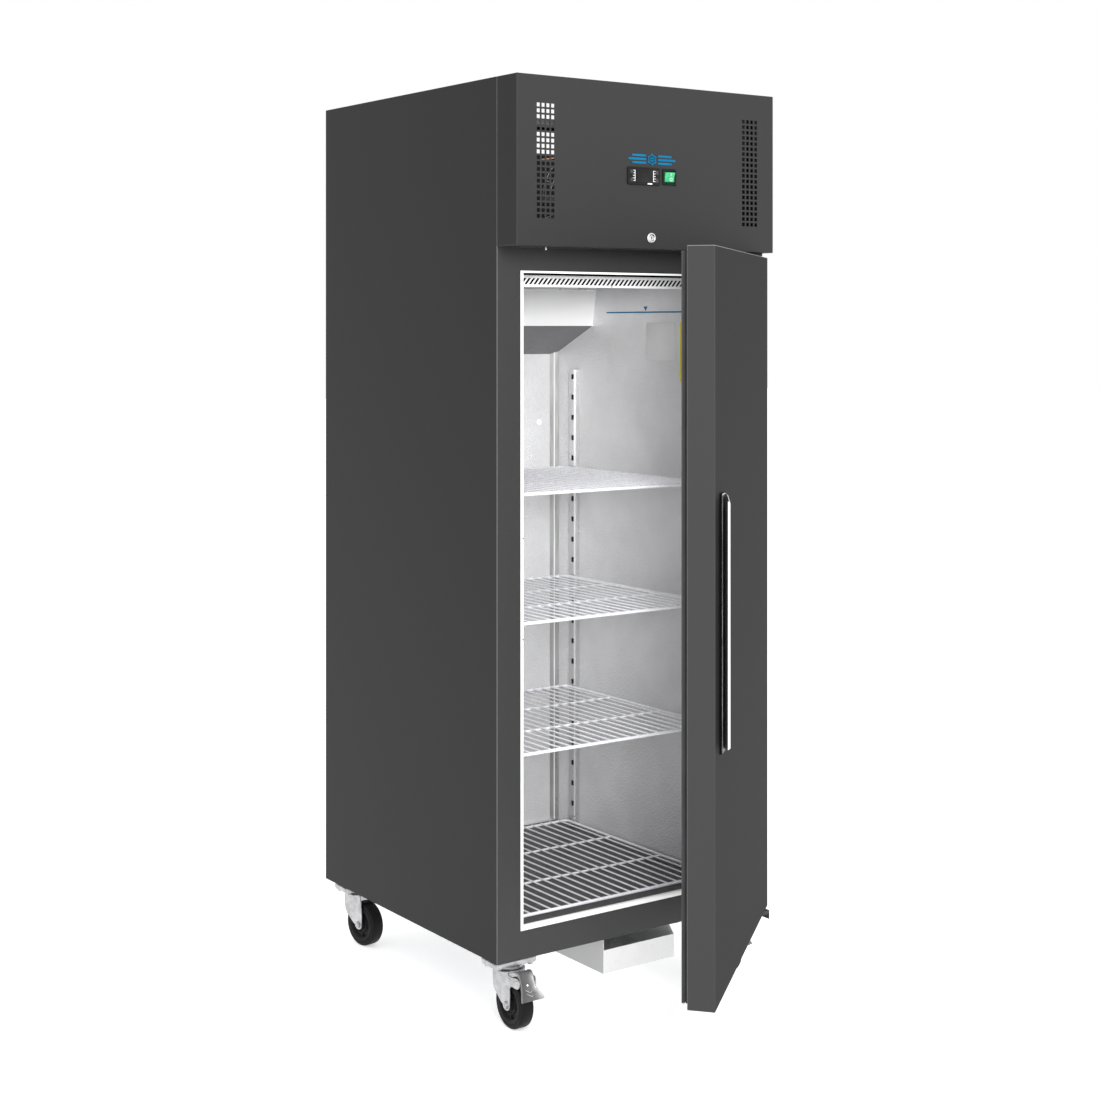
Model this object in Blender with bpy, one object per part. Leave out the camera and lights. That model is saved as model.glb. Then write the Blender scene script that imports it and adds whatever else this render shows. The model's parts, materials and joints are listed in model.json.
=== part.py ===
"""Upright reach-in refrigerator cabinet on four castors, with one insulated door standing ajar.

Units are metres, +Z is up, +X is to the right and -Y is the front.  Every piece is drawn in
cabinet coordinates: X = 0 is the left side panel, Y = 0 is the front plane of the case and
Z = 0 is the underside of the case.  At the end the whole cabinet is moved so that the origin
lies under its middle, on the floor.
"""
import bpy
import bmesh
import math
from mathutils import Matrix, Vector

# ---- driving dimensions -------------------------------------------------------------------
CASE_WIDTH = 0.680
CASE_DEPTH = 0.729
CASE_HEIGHT = 1.796
SKIN = 0.0012
GAP = 0.0003
CASTOR_HEIGHT = 0.150

HEADER_BOTTOM = 1.452
HEADER_OVERHANG = 0.071

VENT_HOLE = 0.0078
VENT_PITCH = 0.01176
VENT_ROWS = 20
VENT_COLUMNS = 4
VENT_TOP = 1.7357
VENT_LEFT_START = 0.0527
VENT_RIGHT_START = 0.5942
LOCK_X = 0.3395
LOCK_Z = 1.4757
SWITCH_X = 0.3872
SWITCH_Z = 1.6050
CONTROLLER_X = 0.3190
CONTROLLER_Z = 1.6040
PLUNGER_X = 0.100
PLUNGER_Y = -0.029

REAR_VENT_LEFT = 0.050
REAR_VENT_RIGHT = 0.630
REAR_VENT_BOTTOM = 1.728
REAR_VENT_TOP = 1.768
COMPRESSOR_X = 0.180
COMPRESSOR_Y = 0.440
CONDENSER_X = 0.455
FAN_Y = 0.292
FAN_Z = 1.580
EVAP_FRONT_HIGH_Y = 0.487
EVAP_FRONT_LOW_Y = 0.500
EVAP_FRONT_LOW = 1.292
EVAP_BACK_LOW = 1.226
EVAP_FAN = (0.340, 0.5195, 1.345)

WALL = 0.066
INSIDE_LEFT = WALL
INSIDE_RIGHT = CASE_WIDTH - WALL
INSIDE_BACK = CASE_DEPTH - 0.060
INSIDE_FLOOR = 0.0605
INSIDE_CEILING = 1.396
OPENING_LEFT = 0.0575
OPENING_RIGHT = CASE_WIDTH - OPENING_LEFT
OPENING_BOTTOM = 0.0575
OPENING_TOP = 1.4045
LINER = 0.0010
LINER_FRONT = 0.0065
DECK_Z = 1.456

DOOR_ANGLE = math.radians(40.0)
DOOR_LEFT = 0.006
DOOR_RIGHT = 0.674
DOOR_BOTTOM = 0.007
DOOR_TOP = 1.443
DOOR_FRONT = -0.0660
DOOR_BACK = -0.0125
HINGE_X = 0.649
HINGE_Y = -0.033
PIN_HOLE = 0.0052
PIN_DEPTH = 0.012

HANDLE_BOTTOM = 0.4795
HANDLE_TOP = 0.9765
HANDLE_LEFT = 0.054
HANDLE_RIGHT = 0.094

SHELF_LEFT = 0.0770
SHELF_RIGHT = CASE_WIDTH - SHELF_LEFT
SHELF_FRONT = 0.035
SHELF_BACK = 0.600
SHELF_TOPS = (0.0775, 0.4100, 0.6808, 0.9480)
SHELF_WIRES = 19

WHEEL_RADIUS = 0.050
WHEEL_HALF_WIDTH = 0.016
AXLE_Z = WHEEL_RADIUS - CASTOR_HEIGHT
CASTOR_INSET_X = 0.066
CASTOR_FRONT_Y = 0.056
CASTOR_REAR_Y = 0.686
CASTOR_TRAIL = 0.022
CASTOR_TURNS = {"front_left": 0.0, "front_right": 12.0, "rear_left": 9.0, "rear_right": 0.0}
CASTOR_PLATE_HALF_X = 0.051
CASTOR_PLATE_HALF_Y = 0.030
CASTOR_PLATE_TOP = -0.0110
CASTOR_PLATE_LOW = -0.0220
RACE_RADIUS = 0.031
RACE_LOW = -0.0300
FORK_INNER = WHEEL_HALF_WIDTH + 0.0025
FORK_SHEET = 0.0030
PEDAL_HINGE_OUT = 0.060
PEDAL_HINGE_Z = -0.044
PEDAL_HALF_WIDTH = 0.0174
PEDAL_FLARE = 0.0105

TRAY_LEFT = 0.290
TRAY_RIGHT = 0.482
TRAY_FRONT = 0.030
TRAY_BACK = 0.440
TRAY_BOTTOM = -0.085

ROUND_SEGMENTS = 24


# ---- helpers ------------------------------------------------------------------------------
def clear_scene():
    for item in list(bpy.data.objects):
        bpy.data.objects.remove(item)


def make_material(name, colour, metallic, roughness):
    material = bpy.data.materials.new(name)
    material.use_nodes = True
    shader = material.node_tree.nodes["Principled BSDF"]
    shader.inputs["Base Color"].default_value = (*colour, 1.0)
    shader.inputs["Metallic"].default_value = metallic
    shader.inputs["Roughness"].default_value = roughness
    return material


def finish_mesh(name, mesh_builder, material, pivot, parent, smooth):
    """Turn a bmesh drawn in cabinet coordinates into one named object with its origin at pivot."""
    bmesh.ops.remove_doubles(mesh_builder, verts=mesh_builder.verts, dist=1e-6)
    bmesh.ops.recalc_face_normals(mesh_builder, faces=mesh_builder.faces)
    bmesh.ops.translate(mesh_builder, verts=mesh_builder.verts, vec=-Vector(pivot))
    mesh = bpy.data.meshes.new(name)
    mesh_builder.to_mesh(mesh)
    mesh_builder.free()
    if smooth:
        mesh.shade_smooth()
        mesh.set_sharp_from_angle(angle=math.radians(35.0))
    item = bpy.data.objects.new(name, mesh)
    bpy.context.scene.collection.objects.link(item)
    item.data.materials.append(material)
    if parent is None:
        item.location = pivot
    else:
        item.parent = parent
        item.location = Vector(pivot) - Vector(parent["axis_point"])
    return item


def add_block_grid(builder, xs, ys, zs, is_solid):
    """Fill the cells of a rectangular grid where is_solid(i, j, k) holds, as one skin."""
    corner = {}

    def vertex(i, j, k):
        key = (i, j, k)
        if key not in corner:
            corner[key] = builder.verts.new((xs[i], ys[j], zs[k]))
        return corner[key]

    count = (len(xs) - 1, len(ys) - 1, len(zs) - 1)

    def filled(i, j, k):
        inside = 0 <= i < count[0] and 0 <= j < count[1] and 0 <= k < count[2]
        return inside and is_solid(i, j, k)

    sides = (
        ((-1, 0, 0), ((0, 0, 0), (0, 0, 1), (0, 1, 1), (0, 1, 0))),
        ((1, 0, 0), ((1, 0, 0), (1, 1, 0), (1, 1, 1), (1, 0, 1))),
        ((0, -1, 0), ((0, 0, 0), (1, 0, 0), (1, 0, 1), (0, 0, 1))),
        ((0, 1, 0), ((0, 1, 0), (0, 1, 1), (1, 1, 1), (1, 1, 0))),
        ((0, 0, -1), ((0, 0, 0), (0, 1, 0), (1, 1, 0), (1, 0, 0))),
        ((0, 0, 1), ((0, 0, 1), (1, 0, 1), (1, 1, 1), (0, 1, 1))),
    )
    for i in range(count[0]):
        for j in range(count[1]):
            for k in range(count[2]):
                if not filled(i, j, k):
                    continue
                for step, ring in sides:
                    if not filled(i + step[0], j + step[1], k + step[2]):
                        builder.faces.new([vertex(i + a, j + b, k + c) for a, b, c in ring])


def cell_box(xs, ys, zs, low, high):
    """A test that is true for grid cells whose middle lies between two corners."""
    def inside(i, j, k):
        middle = ((xs[i] + xs[i + 1]) / 2, (ys[j] + ys[j + 1]) / 2, (zs[k] + zs[k + 1]) / 2)
        return all(low[n] < middle[n] < high[n] for n in range(3))
    return inside


def block_piece(name, solids, voids, material, pivot=(0.0, 0.0, 0.0), parent=None):
    """One body made of axis-aligned blocks (x0, x1, y0, y1, z0, z1) less some block-shaped voids."""
    blocks = list(solids) + list(voids)
    xs = sorted({round(v, 6) for b in blocks for v in b[0:2]})
    ys = sorted({round(v, 6) for b in blocks for v in b[2:4]})
    zs = sorted({round(v, 6) for b in blocks for v in b[4:6]})
    add = [cell_box(xs, ys, zs, (b[0], b[2], b[4]), (b[1], b[3], b[5])) for b in solids]
    cut = [cell_box(xs, ys, zs, (b[0], b[2], b[4]), (b[1], b[3], b[5])) for b in voids]

    def is_solid(i, j, k):
        return any(t(i, j, k) for t in add) and not any(t(i, j, k) for t in cut)

    builder = bmesh.new()
    add_block_grid(builder, xs, ys, zs, is_solid)
    return finish_mesh(name, builder, material, pivot, parent, False)


def prism(builder, outline, axis, low, high, shear=None):
    """Extrude a flat outline along an axis; shear(point) may move the two ends apart or together."""
    def place(point, end):
        along = (low, high)[end]
        if shear is not None:
            along += shear(point)[end]
        if axis == "X":
            return (along, point[0], point[1])
        if axis == "Y":
            return (point[0], along, point[1])
        return (point[0], point[1], along)

    rings = [[builder.verts.new(place(p, end)) for p in outline] for end in (0, 1)]
    builder.faces.new(rings[0])
    builder.faces.new(list(reversed(rings[1])))
    total = len(outline)
    for n in range(total):
        m = (n + 1) % total
        builder.faces.new([rings[0][m], rings[0][n], rings[1][n], rings[1][m]])


def lathe(builder, profile, centre, axis, segments=ROUND_SEGMENTS):
    """Turn a profile of (radius, along) points about an axis; end points on the axis close it."""
    def place(radius, along, turn):
        a = radius * math.cos(turn)
        b = radius * math.sin(turn)
        if axis == "X":
            return (centre[0] + along, centre[1] + a, centre[2] + b)
        if axis == "Y":
            return (centre[0] + a, centre[1] + along, centre[2] + b)
        return (centre[0] + a, centre[1] + b, centre[2] + along)

    rings = []
    for radius, along in profile:
        if radius < 1e-9:
            rings.append([builder.verts.new(place(0.0, along, 0.0))])
        else:
            turns = [2.0 * math.pi * n / segments for n in range(segments)]
            rings.append([builder.verts.new(place(radius, along, t)) for t in turns])
    pairs = list(zip(rings, rings[1:]))
    if len(rings[0]) > 1 and len(rings[-1]) > 1:
        pairs.append((rings[-1], rings[0]))
    for first, second in pairs:
        for n in range(segments):
            m = (n + 1) % segments
            corners = [first[n % len(first)], first[m % len(first)],
                       second[m % len(second)], second[n % len(second)]]
            unique = []
            for corner in corners:
                if corner not in unique:
                    unique.append(corner)
            if len(unique) > 2:
                builder.faces.new(unique)


def frame_ring(builder, profile, left, right, bottom, top):
    """Carry a closed profile of (inward, y) points round a rectangle with mitred corners."""
    corners = ((left, bottom, 1, 1), (right, bottom, -1, 1), (right, top, -1, -1), (left, top, 1, -1))
    rings = []
    for x, z, sx, sz in corners:
        rings.append([builder.verts.new((x + sx * p[0], p[1], z + sz * p[0])) for p in profile])
    total = len(profile)
    for c in range(4):
        near, far = rings[c], rings[(c + 1) % 4]
        for n in range(total):
            m = (n + 1) % total
            builder.faces.new([near[n], near[m], far[m], far[n]])


def fused(name, builders, material, pivot, parent=None, smooth=True):
    """Union several overlapping closed shapes into one body and keep only the result."""
    pieces = []
    for index, builder in enumerate(builders):
        bmesh.ops.recalc_face_normals(builder, faces=builder.faces)
        mesh = bpy.data.meshes.new(name + "_shape_" + str(index))
        builder.to_mesh(mesh)
        builder.free()
        item = bpy.data.objects.new(mesh.name, mesh)
        bpy.context.scene.collection.objects.link(item)
        pieces.append(item)
    for other in pieces[1:]:
        join = pieces[0].modifiers.new(other.name, "BOOLEAN")
        join.operation = "UNION"
        join.solver = "EXACT"
        join.object = other
    bpy.context.view_layer.update()
    graph = bpy.context.evaluated_depsgraph_get()
    result = bpy.data.meshes.new_from_object(pieces[0].evaluated_get(graph))
    builder = bmesh.new()
    builder.from_mesh(result)
    for item in pieces:
        bpy.data.objects.remove(item)
    bmesh.ops.dissolve_degenerate(builder, edges=builder.edges, dist=1e-6)
    return finish_mesh(name, builder, material, pivot, parent, smooth)


def turned_piece(name, profile, centre, axis, material, pivot=None, parent=None, segments=ROUND_SEGMENTS):
    builder = bmesh.new()
    lathe(builder, profile, centre, axis, segments)
    return finish_mesh(name, builder, material, pivot or centre, parent, True)


def disc_profile(radius, low, high, chamfer=0.0):
    if chamfer == 0.0:
        return [(0.0, low), (radius, low), (radius, high), (0.0, high)]
    return [(0.0, low), (radius - chamfer, low), (radius, low + chamfer),
            (radius, high - chamfer), (radius - chamfer, high), (0.0, high)]


def rounded_outline(left, right, bottom, top, radius, steps=3):
    points = []
    corners = ((right - radius, bottom + radius, -90), (right - radius, top - radius, 0),
               (left + radius, top - radius, 90), (left + radius, bottom + radius, 180))
    for cx, cz, start in corners:
        for n in range(steps + 1):
            turn = math.radians(start + 90.0 * n / steps)
            points.append((cx + radius * math.cos(turn), cz + radius * math.sin(turn)))
    return points


# ---- outer case ---------------------------------------------------------------------------
def side_panels():
    flange = 0.015
    for name, outer, sign in (("left_side_panel", 0.0, 1), ("right_side_panel", CASE_WIDTH, -1)):
        skin = sorted((outer, outer + sign * SKIN))
        lip = sorted((outer, outer + sign * flange))
        blocks = [
            (skin[0], skin[1], 0.0, CASE_DEPTH, 0.0, CASE_HEIGHT),
            (lip[0], lip[1], 0.0, CASE_DEPTH, CASE_HEIGHT - SKIN, CASE_HEIGHT),
            (lip[0], lip[1], 0.0, SKIN, HEADER_BOTTOM + GAP, CASE_HEIGHT),
        ]
        block_piece(name, blocks, [], make_material(name + "_paint", (0.058, 0.058, 0.060), 0.0, 0.55))


def back_panel():
    left = SKIN + GAP
    right = CASE_WIDTH - SKIN - GAP
    sheet = (left, right, CASE_DEPTH - SKIN, CASE_DEPTH, 0.0, CASE_HEIGHT - SKIN - GAP)
    window = (REAR_VENT_LEFT, REAR_VENT_RIGHT, CASE_DEPTH - SKIN, CASE_DEPTH, REAR_VENT_BOTTOM,
              REAR_VENT_TOP)
    inlet = (0.554, 0.570, CASE_DEPTH - SKIN, CASE_DEPTH, 1.474, 1.490)
    block_piece("back_panel", [sheet], [window, inlet],
                make_material("back_panel_paint", (0.058, 0.058, 0.060), 0.0, 0.55))


def bottom_panel():
    left = SKIN + GAP
    right = CASE_WIDTH - SKIN - GAP
    blocks = [(left, right, SKIN + GAP, CASE_DEPTH - SKIN - GAP, 0.0, SKIN)]
    runner_bottom = -0.013
    for edge, sign in ((TRAY_LEFT, 1), (TRAY_RIGHT, -1)):
        web = sorted((edge - sign * 0.0110, edge - sign * 0.0098))
        lip = sorted((edge - sign * 0.0110, edge - sign * 0.0030))
        blocks.append((web[0], web[1], TRAY_FRONT, TRAY_BACK + 0.010, runner_bottom, SKIN))
        blocks.append((lip[0], lip[1], TRAY_FRONT, TRAY_BACK + 0.010, runner_bottom, runner_bottom + SKIN))
    block_piece("bottom_panel", blocks, [], make_material("galvanised_base", (0.42, 0.43, 0.44), 0.9, 0.5))


def front_frame():
    left = SKIN + GAP
    right = CASE_WIDTH - SKIN - GAP
    top = HEADER_BOTTOM - GAP
    sheet = (left, right, 0.0, SKIN, 0.0, top)
    opening = (OPENING_LEFT, OPENING_RIGHT, 0.0, SKIN, OPENING_BOTTOM, OPENING_TOP)
    block_piece("front_frame", [sheet], [opening], make_material("front_frame_paint", (0.075, 0.075,
                                                                                       0.077), 0.0, 0.55))


def compartment_deck():
    left = SKIN + GAP
    right = CASE_WIDTH - SKIN - GAP
    back = CASE_DEPTH - SKIN - GAP
    upstand = DECK_Z + 0.020
    blocks = [
        (left, right, SKIN + GAP, back, DECK_Z, DECK_Z + SKIN),
        (left, right, SKIN + GAP, 2 * SKIN + GAP, DECK_Z, upstand),
    ]
    block_piece("compartment_deck", blocks, [], make_material("galvanised_deck", (0.42, 0.43, 0.44), 0.9,
                                                              0.5))


def foam_insulation():
    space = SKIN + GAP
    outside = (space, CASE_WIDTH - space, space, CASE_DEPTH - space, space, DECK_Z - GAP)
    clear = LINER + GAP
    hollow = (INSIDE_LEFT - clear, INSIDE_RIGHT + clear, space, INSIDE_BACK + clear,
              INSIDE_FLOOR - clear, INSIDE_CEILING + clear)
    trim_rebate = (OPENING_LEFT, OPENING_RIGHT, space, LINER_FRONT, OPENING_BOTTOM, OPENING_TOP)
    block_piece("foam_insulation", [outside], [hollow, trim_rebate], make_material("polyurethane_foam",
                                                                                   (0.72, 0.60, 0.36), 0.0,
                                                                                   0.9))


def inner_liner():
    outside = (INSIDE_LEFT - LINER, INSIDE_RIGHT + LINER, LINER_FRONT, INSIDE_BACK + LINER,
               INSIDE_FLOOR - LINER, INSIDE_CEILING + LINER)
    hollow = (INSIDE_LEFT, INSIDE_RIGHT, LINER_FRONT, INSIDE_BACK, INSIDE_FLOOR, INSIDE_CEILING)
    block_piece("inner_liner", [outside], [hollow], make_material("liner_aluminium", (0.55, 0.56, 0.58),
                                                                  0.85, 0.35))


def opening_trim():
    """White plastic strip that covers the joint between the front frame and the liner."""
    builder = bmesh.new()
    profile = ((0.0, -0.0003), (0.0070, -0.0003), (0.0085, 0.0010), (0.0085, 0.0061), (0.0, 0.0061))
    shift = 0.0003
    frame_ring(builder, profile, OPENING_LEFT + shift, OPENING_RIGHT - shift,
               OPENING_BOTTOM + shift, OPENING_TOP - shift)
    finish_mesh("opening_trim", builder, make_material("white_trim_plastic", (0.80, 0.80, 0.78), 0.0, 0.4),
                (0.0, 0.0, 0.0), None, False)


# ---- header -------------------------------------------------------------------------------


def header_front_cover():
    front = -HEADER_OVERHANG
    back = -GAP
    top = CASE_HEIGHT
    bottom = HEADER_BOTTOM
    solids = [
        (0.0, CASE_WIDTH, front, front + SKIN, bottom, top),
        (0.0, SKIN, front, back, bottom, top),
        (CASE_WIDTH - SKIN, CASE_WIDTH, front, back, bottom, top),
        (0.0, CASE_WIDTH, front, back, bottom, bottom + SKIN),
        (0.0, CASE_WIDTH, front, front + 0.014, top - SKIN, top),
    ]
    voids = []
    half = VENT_HOLE / 2
    for start in (VENT_LEFT_START, VENT_RIGHT_START):
        for column in range(VENT_COLUMNS):
            for row in range(VENT_ROWS):
                x = start + column * VENT_PITCH
                z = VENT_TOP - row * VENT_PITCH
                voids.append((x - half, x + half, front, front + SKIN, z - half, z + half))
    voids.append((CONTROLLER_X - 0.0375, CONTROLLER_X + 0.0375, front, front + SKIN,
                  CONTROLLER_Z - 0.0155, CONTROLLER_Z + 0.0155))
    voids.append((SWITCH_X - 0.0150, SWITCH_X + 0.0150, front, front + SKIN,
                  SWITCH_Z - 0.0145, SWITCH_Z + 0.0145))
    voids.append((LOCK_X - 0.0095, LOCK_X + 0.0095, front, front + SKIN, LOCK_Z - 0.0095, LOCK_Z + 0.0095))
    voids.append((PLUNGER_X - 0.0055, PLUNGER_X + 0.0055, PLUNGER_Y - 0.0055, PLUNGER_Y + 0.0055,
                  bottom, bottom + SKIN))
    block_piece("header_front_cover", solids, voids,
                make_material("header_paint", (0.075, 0.075, 0.077), 0.0, 0.55))


def controller():
    front = -HEADER_OVERHANG
    bezel_front = front - 0.0035
    half_x = 0.0425
    half_z = 0.0185
    body_x = 0.0370
    body_z = 0.0150
    solids = [
        (CONTROLLER_X - half_x, CONTROLLER_X + half_x, bezel_front, front - GAP,
         CONTROLLER_Z - half_z, CONTROLLER_Z + half_z),
        (CONTROLLER_X - body_x, CONTROLLER_X + body_x, front - GAP, front + 0.045,
         CONTROLLER_Z - body_z, CONTROLLER_Z + body_z),
    ]
    pocket = 0.0040
    reach = 0.0030
    voids = []
    places = []
    for dx in (-0.0330, 0.0330):
        for dz in (-0.0085, 0.0085):
            x = CONTROLLER_X + dx
            z = CONTROLLER_Z + dz
            voids.append((x - pocket - GAP, x + pocket + GAP, bezel_front, bezel_front + reach,
                          z - pocket - GAP, z + pocket + GAP))
            places.append((x, z))
    block_piece("controller_bezel", solids, voids, make_material("controller_black", (0.012, 0.012, 0.013),
                                                                 0.0, 0.3))
    for number, (x, z) in enumerate(places):
        name = "controller_key_" + str(number + 1)
        solid = (x - pocket, x + pocket, bezel_front - 0.0010, bezel_front + reach - 0.0014, z - pocket,
                 z + pocket)
        block_piece(name, [solid], [], make_material(name + "_rubber", (0.05, 0.05, 0.055), 0.0, 0.5),
                    pivot=(x, bezel_front, z))


def power_switch():
    front = -HEADER_OVERHANG
    rim = front - 0.0030
    half_x = 0.0180
    half_z = 0.0170
    inner_x = 0.0130
    inner_z = 0.0125
    body_x = 0.0147
    body_z = 0.0142
    solids = [
        (SWITCH_X - half_x, SWITCH_X + half_x, rim, front - GAP, SWITCH_Z - half_z, SWITCH_Z + half_z),
        (SWITCH_X - body_x, SWITCH_X + body_x, front - GAP, front + 0.024, SWITCH_Z - body_z,
         SWITCH_Z + body_z),
    ]
    well = (SWITCH_X - inner_x, SWITCH_X + inner_x, rim, front + 0.014, SWITCH_Z - inner_z,
            SWITCH_Z + inner_z)
    block_piece("switch_frame", solids, [well], make_material("switch_black", (0.012, 0.012, 0.013), 0.0,
                                                              0.35))
    builder = bmesh.new()
    axis_y = front + 0.0040
    tall = inner_z - 0.0012
    outline = ((rim - 0.0030, SWITCH_Z + tall - 0.0010), (axis_y, SWITCH_Z + tall), (axis_y + 0.005,
                                                                                     SWITCH_Z + tall - 0.004),
               (axis_y + 0.005, SWITCH_Z - tall + 0.004), (axis_y, SWITCH_Z - tall), (rim + 0.0012,
                                                                                      SWITCH_Z - tall + 0.0006),
               (rim + 0.0010, SWITCH_Z))
    wide = inner_x - 0.0006
    prism(builder, outline, "X", SWITCH_X - wide, SWITCH_X + wide)
    finish_mesh("switch_rocker", builder, make_material("switch_green", (0.05, 0.75, 0.16), 0.0, 0.3),
                (SWITCH_X, axis_y, SWITCH_Z), None, False)


def header_lock():
    front = -HEADER_OVERHANG
    outer = 0.0112
    neck = 0.0090
    bore = 0.0068
    deep = front + 0.020
    profile = [(bore, front - 0.0030), (outer - 0.001, front - 0.0030), (outer, front - 0.0020), (outer,
                                                                                                  front - GAP),
               (neck, front - GAP), (neck, deep), (bore, deep)]
    centre = (LOCK_X, 0.0, LOCK_Z)
    turned_piece("lock_housing", profile, centre, "Y", make_material("lock_chrome", (0.75, 0.75, 0.76),
                                                                     1.0, 0.2),
                 segments=16)
    core = bmesh.new()
    lathe(core, disc_profile(bore - 2 * GAP, front - 0.0026, deep + 0.004), centre, "Y", 16)
    cam = bmesh.new()
    outline = ((LOCK_X - 0.006, LOCK_Z - 0.006), (LOCK_X + 0.034, LOCK_Z - 0.006),
               (LOCK_X + 0.034, LOCK_Z + 0.006), (LOCK_X - 0.006, LOCK_Z + 0.006))
    prism(cam, outline, "Y", deep + 0.0010, deep + 0.0034)
    fused("lock_barrel", [core, cam], make_material("lock_core_steel", (0.6, 0.6, 0.62), 1.0, 0.3),
          (LOCK_X, front, LOCK_Z))


def door_switch_plunger():
    low = HEADER_BOTTOM - 0.0060
    profile = [(0.0, low), (0.0018, low), (0.0025, low + 0.0008), (0.0025, HEADER_BOTTOM + 0.0150),
               (0.0045, HEADER_BOTTOM + 0.0150), (0.0045, HEADER_BOTTOM + 0.0200), (0.0,
                                                                                    HEADER_BOTTOM + 0.0200)]
    turned_piece("door_switch_plunger", profile, (PLUNGER_X, PLUNGER_Y, 0.0), "Z",
                 make_material("plunger_steel", (0.8, 0.8, 0.8), 1.0, 0.2),
                 pivot=(PLUNGER_X, PLUNGER_Y, HEADER_BOTTOM), segments=16)


# ---- refrigeration unit -------------------------------------------------------------------


def compressor():
    base = DECK_Z + SKIN + GAP
    shell = bmesh.new()
    centre = (COMPRESSOR_X, COMPRESSOR_Y, base)
    profile = [(0.0, 0.012), (0.060, 0.012), (0.088, 0.030), (0.092, 0.075), (0.096, 0.078), (0.096, 0.084),
               (0.090, 0.087), (0.086, 0.135), (0.066, 0.165), (0.030, 0.176), (0.0, 0.178)]
    lathe(shell, profile, centre, "Z")
    foot = bmesh.new()
    outline = rounded_outline(COMPRESSOR_X - 0.105, COMPRESSOR_X + 0.105, COMPRESSOR_Y - 0.070,
                              COMPRESSOR_Y + 0.070, 0.015)
    prism(foot, outline, "Z", base, base + 0.014)
    fused("compressor", [shell, foot], make_material("compressor_black", (0.02, 0.02, 0.02), 0.0, 0.4),
          (COMPRESSOR_X, COMPRESSOR_Y, base))


def condenser():
    base = DECK_Z + SKIN + GAP
    low_y = 0.120
    high_y = 0.215
    left = CONDENSER_X - 0.125
    right = CONDENSER_X + 0.125
    top = base + 0.245
    plate = 0.002
    fins = 24
    pitch = (right - left) / fins
    solids = [
        (left, right, low_y, high_y, base, base + 0.010),
        (left, right, low_y, high_y, top - 0.010, top),
    ]
    for n in range(fins + 1):
        x = left + n * pitch
        solids.append((x - plate / 2, x + plate / 2, low_y, high_y, base, top))
    block_piece("condenser_coil", solids, [], make_material("condenser_aluminium", (0.5, 0.51, 0.52), 0.9,
                                                            0.4))


def blades(builder_list, centre, radius, hub, count, chord, thickness):
    """Flat pitched fan blades that start inside the hub and turn about the Y direction."""
    for n in range(count):
        blade = bmesh.new()
        outline = ((hub * 0.6, -chord * 0.35), (radius * 0.72, -chord * 0.60), (radius, -chord * 0.25),
                   (radius, chord * 0.45), (radius * 0.70, chord * 0.60), (hub * 0.6, chord * 0.35))
        prism(blade, outline, "Z", -thickness / 2, thickness / 2)
        tilt = Matrix.Rotation(math.radians(62.0), 4, "X")
        spin = Matrix.Rotation(2.0 * math.pi * n / count, 4, "Y")
        move = Matrix.Translation(Vector(centre))
        bmesh.ops.transform(blade, matrix=move @ spin @ tilt, verts=blade.verts)
        builder_list.append(blade)


def condenser_fan():
    low_y = FAN_Y - 0.062
    base = DECK_Z + SKIN + GAP
    left = CONDENSER_X - 0.125
    right = CONDENSER_X + 0.125
    top = base + 0.245
    ring = 0.108
    plate = bmesh.new()
    steps = 24
    outer = []
    inner = []
    for n in range(steps):
        turn = 2.0 * math.pi * n / steps
        c, s = math.cos(turn), math.sin(turn)
        inner.append((CONDENSER_X + ring * c, FAN_Z + ring * s))
        scale = 1.0 / max(abs(c), abs(s))
        outer.append((CONDENSER_X + (right - CONDENSER_X) * c * scale,
                      (base + top) / 2 + (top - base) / 2 * s * scale))
    rows = []
    for y in (low_y, low_y + 0.002):
        rows.append([plate.verts.new((p[0], y, p[1])) for p in outer])
        rows.append([plate.verts.new((p[0], y, p[1])) for p in inner])
    for n in range(steps):
        m = (n + 1) % steps
        plate.faces.new([rows[0][n], rows[0][m], rows[1][m], rows[1][n]])
        plate.faces.new([rows[2][m], rows[2][n], rows[3][n], rows[3][m]])
        plate.faces.new([rows[0][m], rows[0][n], rows[2][n], rows[2][m]])
        plate.faces.new([rows[1][n], rows[1][m], rows[3][m], rows[3][n]])
    motor = bmesh.new()
    lathe(motor, disc_profile(0.034, FAN_Y + 0.020, FAN_Y + 0.070, 0.004), (CONDENSER_X, 0.0, FAN_Z), "Y")
    arm_x = bmesh.new()
    prism(arm_x, ((CONDENSER_X - 0.118, FAN_Z - 0.006), (CONDENSER_X + 0.118, FAN_Z - 0.006),
                  (CONDENSER_X + 0.118, FAN_Z + 0.006), (CONDENSER_X - 0.118, FAN_Z + 0.006)), "Y",
          FAN_Y + 0.030, FAN_Y + 0.034)
    arms = [plate, motor, arm_x]
    for sign in (-1, 1):
        leg = bmesh.new()
        x = CONDENSER_X + sign * 0.115
        prism(leg, ((x - 0.003, FAN_Z - 0.006), (x + 0.003, FAN_Z - 0.006), (x + 0.003, FAN_Z + 0.006),
                    (x - 0.003, FAN_Z + 0.006)), "Y", low_y, FAN_Y + 0.034)
        arms.append(leg)
    fused("condenser_fan_shroud", arms, make_material("fan_shroud_steel", (0.35, 0.36, 0.37), 0.8, 0.4),
          (CONDENSER_X, FAN_Y, FAN_Z), smooth=True)
    shapes = []
    hub = bmesh.new()
    lathe(hub, disc_profile(0.026, FAN_Y - 0.014, FAN_Y + 0.0185, 0.003), (CONDENSER_X, 0.0, FAN_Z), "Y")
    shapes.append(hub)
    blades(shapes, (CONDENSER_X, FAN_Y, FAN_Z), 0.098, 0.026, 5, 0.052, 0.0022)
    fused("condenser_fan_blade", shapes, make_material("fan_blade_aluminium", (0.55, 0.56, 0.57), 0.8, 0.4),
          (CONDENSER_X, FAN_Y, FAN_Z))


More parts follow.
